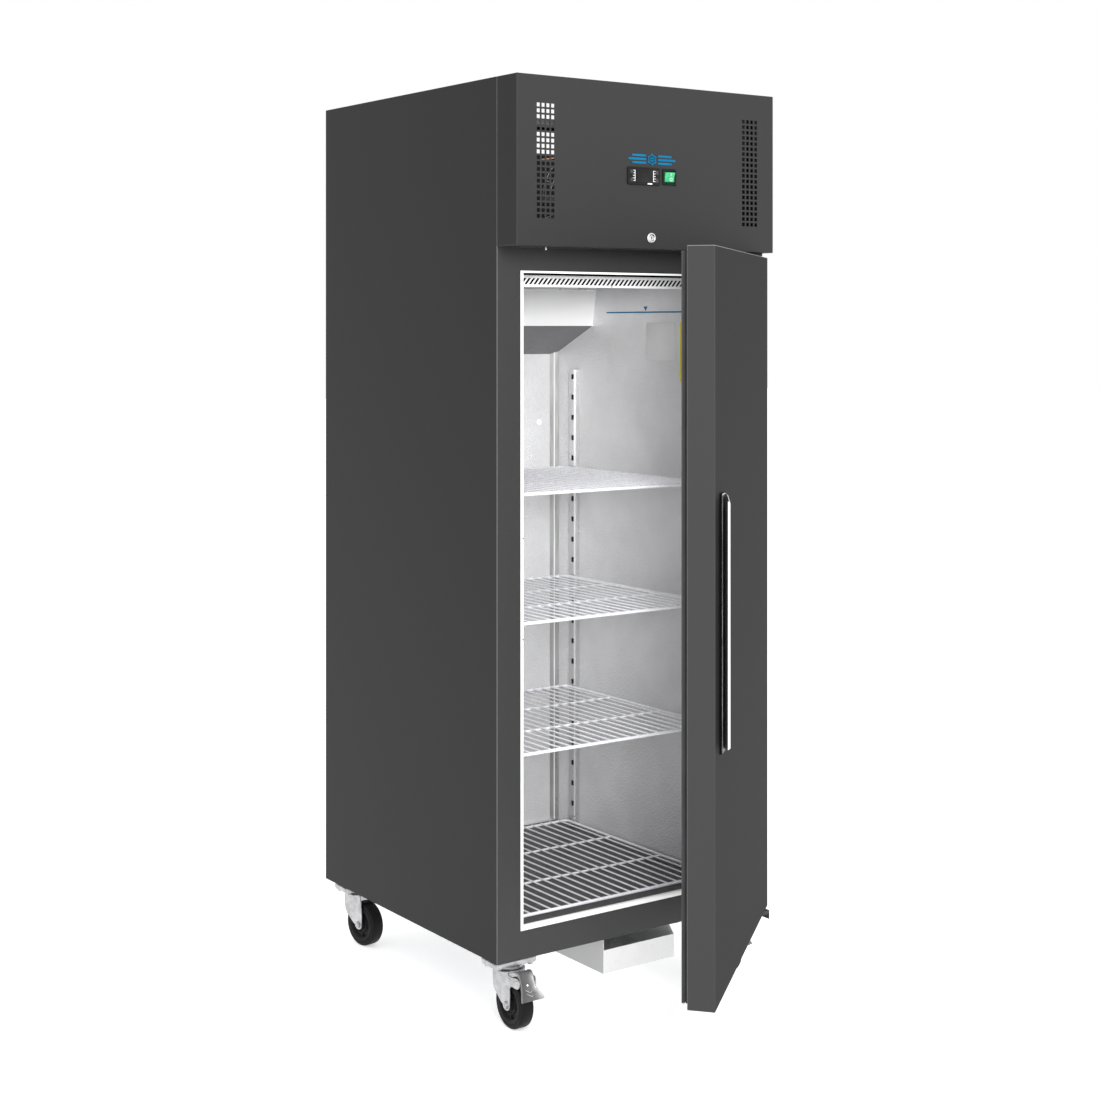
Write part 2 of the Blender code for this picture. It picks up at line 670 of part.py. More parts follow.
def evaporator():
    """Folded sheet casing under the ceiling at the back, the finned block and the fan behind it."""
    left = INSIDE_LEFT + GAP
    right = INSIDE_RIGHT - GAP
    back = INSIDE_BACK - GAP
    top = INSIDE_CEILING - GAP
    sheet = 0.0010
    front = bmesh.new()
    cut = 0.0012
    flange = 0.014
    outline = ((EVAP_FRONT_HIGH_Y, top), (EVAP_FRONT_LOW_Y, EVAP_FRONT_LOW), (back, EVAP_BACK_LOW),
               (back, EVAP_BACK_LOW + cut), (EVAP_FRONT_LOW_Y + sheet, EVAP_FRONT_LOW + cut),
               (EVAP_FRONT_HIGH_Y + sheet, top - sheet), (EVAP_FRONT_HIGH_Y + flange, top - sheet),
               (EVAP_FRONT_HIGH_Y + flange, top))
    prism(front, outline, "X", left, right)
    finish_mesh("evaporator_housing", front, make_material("evaporator_sheet", (0.62, 0.63, 0.65), 0.9,
                                                           0.35),
                (0.0, 0.0, 0.0), None, False)
    coil_low = 1.295
    coil_high = 1.392
    low_y = 0.572
    high_y = 0.655
    fins = 22
    coil_left = 0.120
    coil_right = 0.560
    pitch = (coil_right - coil_left) / fins
    solids = [
        (coil_left, coil_right, low_y, high_y, coil_low, coil_low + 0.008),
        (coil_left, coil_right, low_y, high_y, coil_high - 0.008, coil_high),
    ]
    for n in range(fins + 1):
        x = coil_left + n * pitch
        solids.append((x - 0.001, x + 0.001, low_y, high_y, coil_low, coil_high))
    block_piece("evaporator_coil", solids, [], make_material("evaporator_aluminium", (0.6, 0.61, 0.62),
                                                             0.9, 0.35))
    shapes = []
    hub = bmesh.new()
    lathe(hub, disc_profile(0.014, -0.012, 0.030, 0.002), EVAP_FAN, "Y", 16)
    shapes.append(hub)
    blades(shapes, EVAP_FAN, 0.044, 0.014, 5, 0.026, 0.0016)
    fused("evaporator_fan_blade", shapes, make_material("evaporator_fan_plastic", (0.03, 0.03, 0.03), 0.0,
                                                        0.5), EVAP_FAN)


def air_grille():
    """Slotted strip across the ceiling just behind the opening, where cold air leaves the duct."""
    left = INSIDE_LEFT + GAP
    right = INSIDE_RIGHT - GAP
    front = 0.068
    thick = 0.0010
    top = INSIDE_CEILING - GAP
    low = 1.3735
    slots = 46
    margin = 0.016
    pitch = (right - left - 2 * margin) / slots
    half = pitch * 0.28
    builder = bmesh.new()
    slot_low = low + 0.0050
    slot_high = top - 0.0040
    lean = 0.0110
    columns = []

    def column(x_low, x_high):
        rows = []
        for y in (front, front + thick):
            rows.append([builder.verts.new((x_low, y, low)), builder.verts.new((x_low, y, slot_low)),
                         builder.verts.new((x_high, y, slot_high)), builder.verts.new((x_high, y, top))])
        columns.append(rows)

    column(left, left)
    for n in range(slots):
        middle = left + margin + (n + 0.5) * pitch
        column(middle - half - lean / 2, middle - half + lean / 2)
        column(middle + half - lean / 2, middle + half + lean / 2)
    column(right, right)
    for n in range(len(columns) - 1):
        near, far = columns[n], columns[n + 1]
        is_slot = n % 2 == 1
        for band in range(3):
            if is_slot and band == 1:
                for col, flip in ((near, 1), (far, 0)):
                    ring = [col[0][1], col[1][1], col[1][2], col[0][2]]
                    builder.faces.new(ring if flip else list(reversed(ring)))
                continue
            builder.faces.new([near[0][band], far[0][band], far[0][band + 1], near[0][band + 1]])
            builder.faces.new([near[1][band], near[1][band + 1], far[1][band + 1], far[1][band]])
            if is_slot:
                edge = 1 if band == 0 else 2
                builder.faces.new([near[0][edge], far[0][edge], far[1][edge], near[1][edge]])
        builder.faces.new([near[0][0], near[1][0], far[1][0], far[0][0]])
        builder.faces.new([near[0][3], far[0][3], far[1][3], near[1][3]])
    for col in (columns[0], columns[-1]):
        builder.faces.new([col[0][0], col[0][1], col[0][2], col[0][3],
                           col[1][3], col[1][2], col[1][1], col[1][0]])
    finish_mesh("air_grille", builder, make_material("air_grille_steel", (0.75, 0.76, 0.77), 0.9, 0.3),
                (0.0, 0.0, 0.0), None, False)


def cable_gland():
    x, z = 0.562, 1.482
    back = CASE_DEPTH
    profile = [(0.0042, back - 0.012), (0.0075, back - 0.012), (0.0075, back + GAP), (0.0115, back + GAP),
               (0.0115, back + 0.006), (0.0080, back + 0.010), (0.0080, back + 0.016), (0.0042,
                                                                                        back + 0.016)]
    turned_piece("cable_gland", profile, (x, 0.0, z), "Y", make_material("gland_nylon", (0.02, 0.02, 0.02),
                                                                         0.0, 0.5),
                 segments=12)


# ---- shelving -----------------------------------------------------------------------------
def pilasters():
    deep = 0.0100
    wide = 0.030
    thick = 0.0012
    low = INSIDE_FLOOR + 0.004
    high = 1.185
    for side in ("left", "right"):
        wall = INSIDE_LEFT + GAP if side == "left" else INSIDE_RIGHT - GAP
        sign = 1 if side == "left" else -1
        for place, middle in (("front", 0.110), ("rear", 0.580)):
            a, b = middle - wide / 2, middle + wide / 2
            web = sorted((wall + sign * (deep - thick), wall + sign * deep))
            leg = sorted((wall, wall + sign * deep))
            blocks = [
                (web[0], web[1], a, b, low, high),
                (leg[0], leg[1], a, a + thick, low, high),
                (leg[0], leg[1], b - thick, b, low, high),
            ]
            name = "pilaster_" + side + "_" + place
            block_piece(name, blocks, [], make_material(name + "_steel", (0.60, 0.61, 0.62), 0.9, 0.35))


def shelves():
    wire = 0.0045
    rim = 0.0090
    back_rim = 0.0065
    side_rim = 0.0065
    for number, top in enumerate(SHELF_TOPS):
        name = "shelf_" + str(number + 1)
        left, right = SHELF_LEFT + 0.001, SHELF_RIGHT - 0.001
        solids = [
            (left, right, SHELF_FRONT, SHELF_FRONT + 0.007, top - rim, top),
            (left, right, SHELF_BACK - back_rim, SHELF_BACK, top - 0.005, top),
            (left, left + side_rim, SHELF_FRONT, SHELF_BACK, top - 0.005, top),
            (right - side_rim, right, SHELF_FRONT, SHELF_BACK, top - 0.005, top),
        ]
        pitch = (right - left - side_rim) / (SHELF_WIRES + 1)
        for n in range(1, SHELF_WIRES + 1):
            x = left + side_rim / 2 + n * pitch
            solids.append((x - wire / 2, x + wire / 2, SHELF_FRONT, SHELF_BACK, top - 0.005, top))
        block_piece(name, solids, [], make_material(name + "_white_coat", (0.82, 0.82, 0.84), 0.0, 0.35),
                    pivot=(CASE_WIDTH / 2, SHELF_FRONT, top))


# ---- door ---------------------------------------------------------------------------------
def door_hinge():
    hinge = bpy.data.objects.new("door_hinge_axis", None)
    bpy.context.scene.collection.objects.link(hinge)
    hinge["axis_point"] = (HINGE_X, HINGE_Y, 0.0)
    hinge.location = (HINGE_X, HINGE_Y, 0.0)
    hinge.rotation_euler = (0.0, 0.0, DOOR_ANGLE)
    return hinge


def pin_holes(face_low, face_high):
    return [
        (HINGE_X - PIN_HOLE, HINGE_X + PIN_HOLE, HINGE_Y - PIN_HOLE, HINGE_Y + PIN_HOLE,
         face_high - PIN_DEPTH, face_high),
        (HINGE_X - PIN_HOLE, HINGE_X + PIN_HOLE, HINGE_Y - PIN_HOLE, HINGE_Y + PIN_HOLE, face_low,
         face_low + PIN_DEPTH),
    ]


def door_panels(hinge):
    sheet = 0.0010
    outer = (DOOR_LEFT, DOOR_RIGHT, DOOR_FRONT, DOOR_BACK, DOOR_BOTTOM, DOOR_TOP)
    hollow = (DOOR_LEFT + sheet, DOOR_RIGHT - sheet, DOOR_FRONT + sheet, DOOR_BACK, DOOR_BOTTOM + sheet,
              DOOR_TOP - sheet)
    block_piece("door_outer_skin", [outer], [hollow] + pin_holes(DOOR_BOTTOM, DOOR_TOP),
                make_material("door_paint", (0.080, 0.080, 0.082), 0.0, 0.55),
                pivot=(HINGE_X, HINGE_Y, 0.0), parent=hinge)
    inset = sheet + GAP
    liner_back = DOOR_BACK - 0.0010
    foam = (DOOR_LEFT + inset, DOOR_RIGHT - inset, DOOR_FRONT + inset, liner_back - GAP,
            DOOR_BOTTOM + inset, DOOR_TOP - inset)
    block_piece("door_foam", [foam], pin_holes(DOOR_BOTTOM, DOOR_TOP),
                make_material("door_polyurethane", (0.72, 0.60, 0.36), 0.0, 0.9),
                pivot=(HINGE_X, HINGE_Y, 0.0), parent=hinge)
    plate = (DOOR_LEFT + inset, DOOR_RIGHT - inset, liner_back, DOOR_BACK, DOOR_BOTTOM + inset,
             DOOR_TOP - inset)
    field = (0.070, 0.610, liner_back, DOOR_BACK + 0.0085, 0.075, 1.375)
    block_piece("door_inner_liner", [plate, field], [],
                make_material("door_liner_grey", (0.62, 0.63, 0.65), 0.0, 0.4),
                pivot=(HINGE_X, HINGE_Y, 0.0), parent=hinge)


def door_gasket(hinge):
    back = DOOR_BACK + GAP
    lip = -0.0006
    builder = bmesh.new()
    profile = ((0.0020, back), (0.0000, back + 0.0035), (0.0022, back + 0.0055), (0.0, back + 0.0080),
               (0.0, lip),
               (0.0200, lip), (0.0200, back + 0.0080), (0.0178, back + 0.0055), (0.0200, back + 0.0035),
               (0.0180, back))
    frame_ring(builder, profile, DOOR_LEFT + 0.006, HINGE_X, DOOR_BOTTOM + 0.010, DOOR_TOP - 0.010)
    finish_mesh("door_gasket", builder, make_material("gasket_rubber", (0.03, 0.03, 0.03), 0.0, 0.7),
                (HINGE_X, HINGE_Y, 0.0), hinge, False)


def door_handle(hinge):
    face = DOOR_FRONT - GAP
    base_front = face - 0.0035
    block_piece("handle_base", [(HANDLE_LEFT, HANDLE_RIGHT, base_front, face, HANDLE_BOTTOM, HANDLE_TOP)],
                [],
                make_material("handle_black", (0.015, 0.015, 0.015), 0.0, 0.4),
                pivot=(HINGE_X, HINGE_Y, 0.0), parent=hinge)
    inner = base_front - GAP
    outer = face - 0.0225
    sheet = 0.0014
    lip = 0.0045
    left = HANDLE_LEFT - 0.014
    right = HANDLE_RIGHT - 0.004
    outline = ((HANDLE_LEFT + 0.003, inner), (right, inner), (right, outer), (left, outer), (left,
                                                                                             outer + lip),
               (left + sheet, outer + lip), (left + sheet, outer + sheet), (right - sheet, outer + sheet),
               (right - sheet, inner - sheet), (HANDLE_LEFT + 0.003, inner - sheet))
    slope = 0.80

    def taper(point):
        rise = (inner - point[1]) * slope
        return (rise, -rise)

    builder = bmesh.new()
    prism(builder, outline, "Z", HANDLE_BOTTOM + 0.001, HANDLE_TOP - 0.001, taper)
    finish_mesh("handle_grip", builder, make_material("handle_steel", (0.6, 0.6, 0.61), 1.0, 0.3),
                (HINGE_X, HINGE_Y, 0.0), hinge, False)


def hinge_brackets():
    """Flat brackets above and below the door, each with a pin standing in the door's edge."""
    pin = 0.0045
    back = -GAP
    left, right = 0.628, 0.6784
    low, high = DOOR_TOP + 0.0030, HEADER_BOTTOM - GAP
    plate = bmesh.new()
    outline = ((left, back), (right, back), (right, HINGE_Y - 0.002), (0.668, HINGE_Y - 0.016),
               (0.640, HINGE_Y - 0.016), (left, HINGE_Y - 0.004))
    prism(plate, outline, "Z", low, high)
    post = bmesh.new()
    lathe(post, disc_profile(pin, DOOR_TOP - 0.0105, DOOR_TOP + 0.0040), (HINGE_X, HINGE_Y, 0.0), "Z", 16)
    fused("hinge_bracket_top", [plate, post], bracket_steel("hinge_bracket_top"), (HINGE_X, HINGE_Y, low))

    low, high, reach, sheet, flange_drop = -0.0045, DOOR_BOTTOM - 0.0030, -0.0605, 0.0022, 0.0105
    plate = bmesh.new()
    outline = ((left, back), (right, back), (right, reach), (0.650, reach), (left, HINGE_Y - 0.004))
    prism(plate, outline, "Z", low, high)
    post = bmesh.new()
    lathe(post, disc_profile(pin, DOOR_BOTTOM - 0.0040, DOOR_BOTTOM + 0.0105), (HINGE_X, HINGE_Y, 0.0),
          "Z", 16)
    flange = bmesh.new()
    prism(flange, ((right - sheet, reach), (right, reach), (right, back - 0.010), (right - sheet,
                                                                                   back - 0.010)),
          "Z", low - flange_drop, low + 0.001)
    tab = bmesh.new()
    prism(tab, ((0.632, low), (0.672, low), (0.672, -0.0009), (0.632, -0.0009)), "Y", -0.006, 0.0165)
    fused("hinge_bracket_bottom", [plate, post, flange, tab], bracket_steel("hinge_bracket_bottom"),
          (HINGE_X, HINGE_Y, low))


def bracket_steel(name):
    return make_material(name + "_steel", (0.07, 0.07, 0.072), 0.6, 0.45)


# ---- castors and tray ---------------------------------------------------------------------
def zinc(name):
    return make_material(name, (0.70, 0.71, 0.72), 1.0, 0.3)


def castors():
    """Four swivel castors; each is drawn facing the front and then turned to its rest heading."""
    right = CASE_WIDTH - CASTOR_INSET_X
    places = (("front_left", CASTOR_INSET_X, CASTOR_FRONT_Y), ("front_right", right, CASTOR_FRONT_Y),
              ("rear_left", CASTOR_INSET_X, CASTOR_REAR_Y), ("rear_right", right, CASTOR_REAR_Y))
    for place, x, y in places:
        castor_plate(place, x, y)
        castor_fork(place, x, y)
        castor_wheel(place, x, y - CASTOR_TRAIL)
        turning = ["castor_fork_" + place, "castor_wheel_" + place]
        if place.startswith("front"):
            brake_pedal(place, x, y)
            turning.append("brake_pedal_" + place)
        turn_castor(turning, x, y, math.radians(CASTOR_TURNS[place]))


def turn_castor(names, x, y, angle):
    """Turn finished pieces, whose origins stand at their joints, about the upright swivel axis."""
    turn = Matrix.Rotation(angle, 4, "Z")
    axis = Vector((x, y, 0.0))
    for name in names:
        item = bpy.data.objects[name]
        item.data.transform(turn)
        item.location = axis + turn @ (item.location - axis)


def castor_plate(place, x, y):
    """Mounting plate on four spacers, with the ball race under its middle."""
    plate = bmesh.new()
    outline = rounded_outline(x - CASTOR_PLATE_HALF_X, x + CASTOR_PLATE_HALF_X,
                              y - CASTOR_PLATE_HALF_Y, y + CASTOR_PLATE_HALF_Y, 0.006, 2)
    prism(plate, outline, "Z", CASTOR_PLATE_LOW, CASTOR_PLATE_TOP)
    race = bmesh.new()
    rim = RACE_RADIUS - 0.004
    profile = [(0.0, RACE_LOW), (rim, RACE_LOW), (RACE_RADIUS, RACE_LOW + 0.005),
               (RACE_RADIUS, CASTOR_PLATE_LOW + 0.003), (0.0, CASTOR_PLATE_LOW + 0.003)]
    lathe(race, profile, (x, y, 0.0), "Z")
    shapes = [plate, race]
    for side_x in (-1, 1):
        for side_y in (-1, 1):
            spacer = bmesh.new()
            lathe(spacer, disc_profile(0.0070, CASTOR_PLATE_TOP - 0.003, -GAP),
                  (x + side_x * 0.0400, y + side_y * 0.0200, 0.0), "Z", 12)
            shapes.append(spacer)
    fused("castor_plate_" + place, shapes, zinc("castor_plate_zinc_" + place), (x, y, CASTOR_PLATE_LOW))


def castor_fork(place, x, y):
    """Pressed fork that swivels under the plate; the braked ones have ears that carry the pedal."""
    top = RACE_LOW - GAP
    head_low = top - 0.0040
    head = bmesh.new()
    lathe(head, [(0.0, head_low), (0.030, head_low), (0.034, top - 0.0015), (0.030, top), (0.0, top)],
          (x, y, 0.0), "Z")
    shapes = [head]
    axle_y = y - CASTOR_TRAIL
    rear = [(y + 0.0285, top - 0.0020), (y + 0.0285, -0.052), (y + 0.026, -0.073), (y + 0.0190, -0.0815),
            (y - 0.0030, -0.0985)]
    boss = [(axle_y + 0.0110, AXLE_Z - 0.0050), (axle_y + 0.0060, AXLE_Z - 0.0100), (axle_y,
                                                                                     AXLE_Z - 0.0112),
            (axle_y - 0.0070, AXLE_Z - 0.0090), (axle_y - 0.0120, AXLE_Z - 0.0030), (axle_y - 0.0128,
                                                                                     AXLE_Z + 0.005)]
    front = [(y - 0.0346, -0.079), (y - 0.0330, -0.060), (y - 0.0290, top - 0.0060)]
    if place.startswith("front"):
        front = [(y - 0.0346, -0.079), (y - 0.0345, -0.0640), (y - 0.0375, -0.0585), (y - 0.0480, -0.0565),
                 (y - 0.0620, -0.0572), (y - 0.0680, -0.0520), (y - 0.0690, -0.0440), (y - 0.0660, -0.0378),
                 (y - 0.0600, -0.0358), (y - 0.0400, -0.0385), (y - 0.0290, -0.0370)]
    outline = rear + boss + front + [(y - 0.0270, top - 0.0020)]
    for sign in (-1, 1):
        leg = bmesh.new()
        inner = x + sign * FORK_INNER
        outer = inner + sign * FORK_SHEET
        prism(leg, outline, "X", min(inner, outer), max(inner, outer))
        shapes.append(leg)
    reach = FORK_INNER + FORK_SHEET
    bridge = bmesh.new()
    bridge_outline = ((y - 0.024, top - 0.0045), (y + 0.027, top - 0.0045), (y + 0.027, top - 0.0012),
                      (y - 0.024, top - 0.0012))
    prism(bridge, bridge_outline, "X", x - reach + 0.0011, x + reach - 0.0011)
    shapes.append(bridge)
    bolt = bmesh.new()
    lathe(bolt, disc_profile(0.0045, -reach - 0.004, reach + 0.004), (x, axle_y, AXLE_Z), "X", 12)
    shapes.append(bolt)
    for sign in (-1, 1):
        nut = bmesh.new()
        low = min(sign * (reach - 0.0005), sign * (reach + 0.0035))
        lathe(nut, disc_profile(0.0078, low, low + 0.0040), (x, axle_y, AXLE_Z), "X", 6)
        shapes.append(nut)
    fused("castor_fork_" + place, shapes, zinc("castor_fork_zinc_" + place), (x, y, top))


def castor_wheel(place, x, y):
    bore = 0.0052
    half = WHEEL_HALF_WIDTH
    shoulder = 0.0040
    side = [(bore, 0.0), (0.014, 0.0), (0.031, 0.005), (0.036, 0.0005), (WHEEL_RADIUS - shoulder, 0.0008),
            (WHEEL_RADIUS, shoulder)]
    profile = [(radius, -half + inset) for radius, inset in side]
    profile += [(radius, half - inset) for radius, inset in reversed(side)]
    rubber = make_material("castor_rubber_" + place, (0.018, 0.018, 0.018), 0.0, 0.6)
    turned_piece("castor_wheel_" + place, profile, (x, y, AXLE_Z), "X", rubber, segments=24)


def brake_pedal(place, x, y):
    """Pressed steel treadle that hangs in front of the wheel and turns about a cross pin."""
    hinge_y = y - PEDAL_HINGE_OUT
    outline = ((y - 0.0470, -0.0280), (y - 0.0560, -0.0260), (y - 0.0602, -0.0274), (y - 0.0735, -0.0550),
               (y - 0.0900, -0.0745), (y - 0.0878, -0.0766), (y - 0.0700, -0.0575), (y - 0.0580, -0.0510),
               (y - 0.0535, -0.0440), (y - 0.0545, -0.0325), (y - 0.0470, -0.0310))
    waist_z = -0.0570
    flare_height = 0.0175

    def widen(point):
        drop = max(0.0, (waist_z - point[1]) / flare_height)
        return (-PEDAL_FLARE * drop, PEDAL_FLARE * drop)

    builder = bmesh.new()
    prism(builder, outline, "X", x - PEDAL_HALF_WIDTH, x + PEDAL_HALF_WIDTH, widen)
    steel = make_material("brake_pedal_zinc_" + place, (0.66, 0.67, 0.68), 1.0, 0.3)
    finish_mesh("brake_pedal_" + place, builder, steel, (x, hinge_y, PEDAL_HINGE_Z), None, False)


def drip_tray():
    sheet = 0.0012
    wall_top = -0.0102
    flange = 0.0088
    lip = 0.050
    builder_solids = []
    left, right, front, back, low = TRAY_LEFT, TRAY_RIGHT, TRAY_FRONT, TRAY_BACK, TRAY_BOTTOM
    builder_solids.append((left, right, front, back, low, low + sheet))
    builder_solids.append((left, right, front, front + sheet, low, low + lip))
    builder_solids.append((left, right, back - sheet, back, low, low + lip))
    builder_solids.append((left, left + sheet, front, back, low, wall_top))
    builder_solids.append((right - sheet, right, front, back, low, wall_top))
    builder_solids.append((left - flange, left, front, back, wall_top - sheet, wall_top))
    builder_solids.append((right, right + flange, front, back, wall_top - sheet, wall_top))
    block_piece("drip_tray", builder_solids, [], make_material("drip_tray_white", (0.80, 0.81, 0.82), 0.2,
                                                               0.35),
                pivot=((left + right) / 2, front, low))


def stand_on_floor():
    """Move the cabinet so that the origin is under the middle of everything, at floor level."""
    bpy.context.view_layer.update()
    points = []
    for item in bpy.data.objects:
        if item.type == "MESH":
            points += [item.matrix_world @ Vector(v.co) for v in item.data.vertices]
    low = [min(p[n] for p in points) for n in range(3)]
    high = [max(p[n] for p in points) for n in range(3)]
    shift = Vector((-(low[0] + high[0]) / 2, -(low[1] + high[1]) / 2, -low[2]))
    for item in bpy.data.objects:
        if item.parent is None:
            item.location += shift


def build():
    clear_scene()
    side_panels()
    back_panel()
    bottom_panel()
    front_frame()
    compartment_deck()
    foam_insulation()
    inner_liner()
    opening_trim()
    header_front_cover()
    controller()
    power_switch()
    header_lock()
    door_switch_plunger()
    compressor()
    condenser()
    condenser_fan()
    evaporator()
    air_grille()
    cable_gland()
    pilasters()
    shelves()
    hinge = door_hinge()
    door_panels(hinge)
    door_gasket(hinge)
    door_handle(hinge)
    hinge_brackets()
    castors()
    drip_tray()
    stand_on_floor()


build()
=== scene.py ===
"""Finished looks of an upright reach-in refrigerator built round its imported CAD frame.

Shapes are drawn in cabinet coordinates: X = 0 is the left side panel, Y = 0 the front plane of
the case and Z = 0 its underside.  Shapes on the door are drawn with the door shut and then swung
to where it stands at rest.  Everything is in metres.
"""

import json
import math

import bmesh
import bpy
import numpy as np
from mathutils import Matrix, Vector


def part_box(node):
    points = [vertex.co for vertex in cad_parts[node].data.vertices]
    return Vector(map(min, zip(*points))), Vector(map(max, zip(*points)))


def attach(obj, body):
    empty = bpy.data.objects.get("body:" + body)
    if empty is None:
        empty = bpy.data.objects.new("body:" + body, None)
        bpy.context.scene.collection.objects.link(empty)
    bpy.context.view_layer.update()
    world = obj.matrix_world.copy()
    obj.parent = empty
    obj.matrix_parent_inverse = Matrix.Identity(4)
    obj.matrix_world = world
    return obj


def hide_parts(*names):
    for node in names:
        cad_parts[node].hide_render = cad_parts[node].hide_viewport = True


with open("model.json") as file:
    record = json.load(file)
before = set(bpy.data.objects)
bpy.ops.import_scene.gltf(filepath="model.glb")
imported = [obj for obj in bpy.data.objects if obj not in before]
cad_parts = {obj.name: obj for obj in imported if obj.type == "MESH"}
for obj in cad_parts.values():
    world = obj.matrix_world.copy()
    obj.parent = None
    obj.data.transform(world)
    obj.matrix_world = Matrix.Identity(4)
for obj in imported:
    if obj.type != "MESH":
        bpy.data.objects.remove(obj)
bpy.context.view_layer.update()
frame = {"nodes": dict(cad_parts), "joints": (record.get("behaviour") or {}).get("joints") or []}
NODES = frame["nodes"]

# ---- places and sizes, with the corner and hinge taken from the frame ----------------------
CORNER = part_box("left_side_panel")[0]


def joint(name):
    return next(j for j in frame["joints"] if j["name"] == name)


def turned_about(place, angle):
    """The matrix that turns a shape about an upright line through a place."""
    return Matrix.Translation(place) @ Matrix.Rotation(angle, 4, "Z") @ Matrix.Translation(-Vector(place))


HINGE = Vector(joint("door_hinge")["pos_m"]) - CORNER
DOOR_AJAR = math.radians(40.0)
DOOR_SWING = turned_about(HINGE, DOOR_AJAR)

CASE_WIDTH = 0.680
CASE_DEPTH = 0.729
CASE_HEIGHT = 1.796
SHEET = 0.0012
GAP = 0.0003
HEADER_FRONT = -0.071
HEADER_BOTTOM = 1.452
DECK = 1.4572
INSIDE_LEFT, INSIDE_RIGHT = 0.066, 0.614
INSIDE_BACK, INSIDE_FLOOR, INSIDE_CEILING = 0.669, 0.0605, 1.396
OPENING = (0.0575, 0.6225, 0.0575, 1.4045)
DOOR_LEFT, DOOR_RIGHT = 0.006, 0.674
DOOR_BOTTOM, DOOR_TOP = 0.007, 1.443
DOOR_FRONT, DOOR_BACK = -0.0660, -0.0125
SHELF_TOPS = (0.0775, 0.4100, 0.6808, 0.9480)
PILASTER_MIDDLES = (("front", 0.110), ("rear", 0.580))
CONTROLLER = (0.3190, 1.6040)
SWITCH = (0.3872, 1.6050)
LOCK = (0.3395, 1.4757)
AXLE_Z = -0.100
CASTOR_TRAIL = 0.022
CASTORS = ("front_left", "front_right", "rear_left", "rear_right")
PLATE_LOW = -0.0220
PLATE_TOP = -0.0110
RACE_LOW = -0.0300
PLUNGER = (0.100, -0.029)
REAR_WINDOW = (0.050, 0.655, 1.728, 1.7825)
CORD_INLET = (0.554, 0.570, 1.474, 1.490)
TOUCH = 1e-5
QUARTERS = ((-1, -1), (-1, 1), (1, -1), (1, 1))
EVAPORATOR_FOLD = (0.510, 1.292)
EVAPORATOR_REAR_EDGE = 1.222
FAN_HUB = (0.292, 1.580)
EVAPORATOR_FAN_HUB = (0.340, 0.5195, 1.345)
PROBE = (0.560, 0.478, 1.3790)
SHARP_ANGLE = math.radians(40.0)
BEVEL_ANGLE = math.radians(35.0)
FLOOR_HALF = 30.0
FLOOR_GLOW = 0.42
CAMERA_PLACE = Vector((-2.0664, -3.1422, 1.2888))
CAMERA_HEADING = math.radians(-35.358)
CAMERA_LENS = 60.89
CAMERA_SHIFT = (-0.0117, -0.2025)
KEY_LIGHT = ((-1.6, -4.6, 3.0), (0.0, 0.0, 0.9), 170.0)
KEY_SIZE = 2.4
OPENING_LIGHT = ((-2.0, -3.3, 1.75), (0.25, 0.5, 1.42), 560.0)
OPENING_CONE = math.radians(50.0)
OPENING_SOFTNESS = 0.35
# Pieces that the opening light falls on.
LIT_INSIDE = bpy.data.collections.new("lit_inside")


# ---- mesh helpers --------------------------------------------------------------------------
def piece(name, builder, materials, body, stands_for=(), swing=None, smooth=True,
          flat_faces=False, bevel=0.0, inside=False, highlight_bends=None):
    """Turn a mesh drawn in cabinet coordinates into one named piece that rides on a body."""
    # Faces on a bend that the mask picks take material 1: a painted highlight.
    if highlight_bends is not None:
        builder.normal_update()
        for face in builder.faces:
            if max(abs(n) for n in face.normal) < 0.985 and highlight_bends(face.calc_center_median()):
                face.material_index = 1
    if swing is not None:
        bmesh.ops.transform(builder, verts=builder.verts, matrix=swing)
    bmesh.ops.translate(builder, verts=builder.verts, vec=CORNER)
    bmesh.ops.remove_doubles(builder, verts=builder.verts, dist=1e-6)
    bmesh.ops.recalc_face_normals(builder, faces=builder.faces)
    mesh = bpy.data.meshes.new(name)
    builder.to_mesh(mesh)
    builder.free()
    if smooth:
        mesh.shade_smooth()
        mesh.set_sharp_from_angle(angle=SHARP_ANGLE)
    item = bpy.data.objects.new(name, mesh)
    bpy.context.scene.collection.objects.link(item)
    for material in (materials if isinstance(materials, (list, tuple)) else [materials]):
        mesh.materials.append(material)
    if bevel:
        soft = item.modifiers.new("edge", "BEVEL")
        soft.width = bevel
        soft.segments = 2
        soft.limit_method = "ANGLE"
        soft.angle_limit = BEVEL_ANGLE
        soft.harden_normals = True
    if flat_faces:
        weigh = item.modifiers.new("normals", "WEIGHTED_NORMAL")
        weigh.keep_sharp = True
    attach(item, body)
    if inside:
        LIT_INSIDE.objects.link(item)
    if stands_for:
        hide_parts(*stands_for)
    return item


def bend_lines(low, high, radius):
    """Extra grid lines that let soften() turn a square edge into an even arc."""
    lines = []
    for share in (0.423, 0.732, 1.0):
        lines += [low + share * radius, high - share * radius]
    return lines


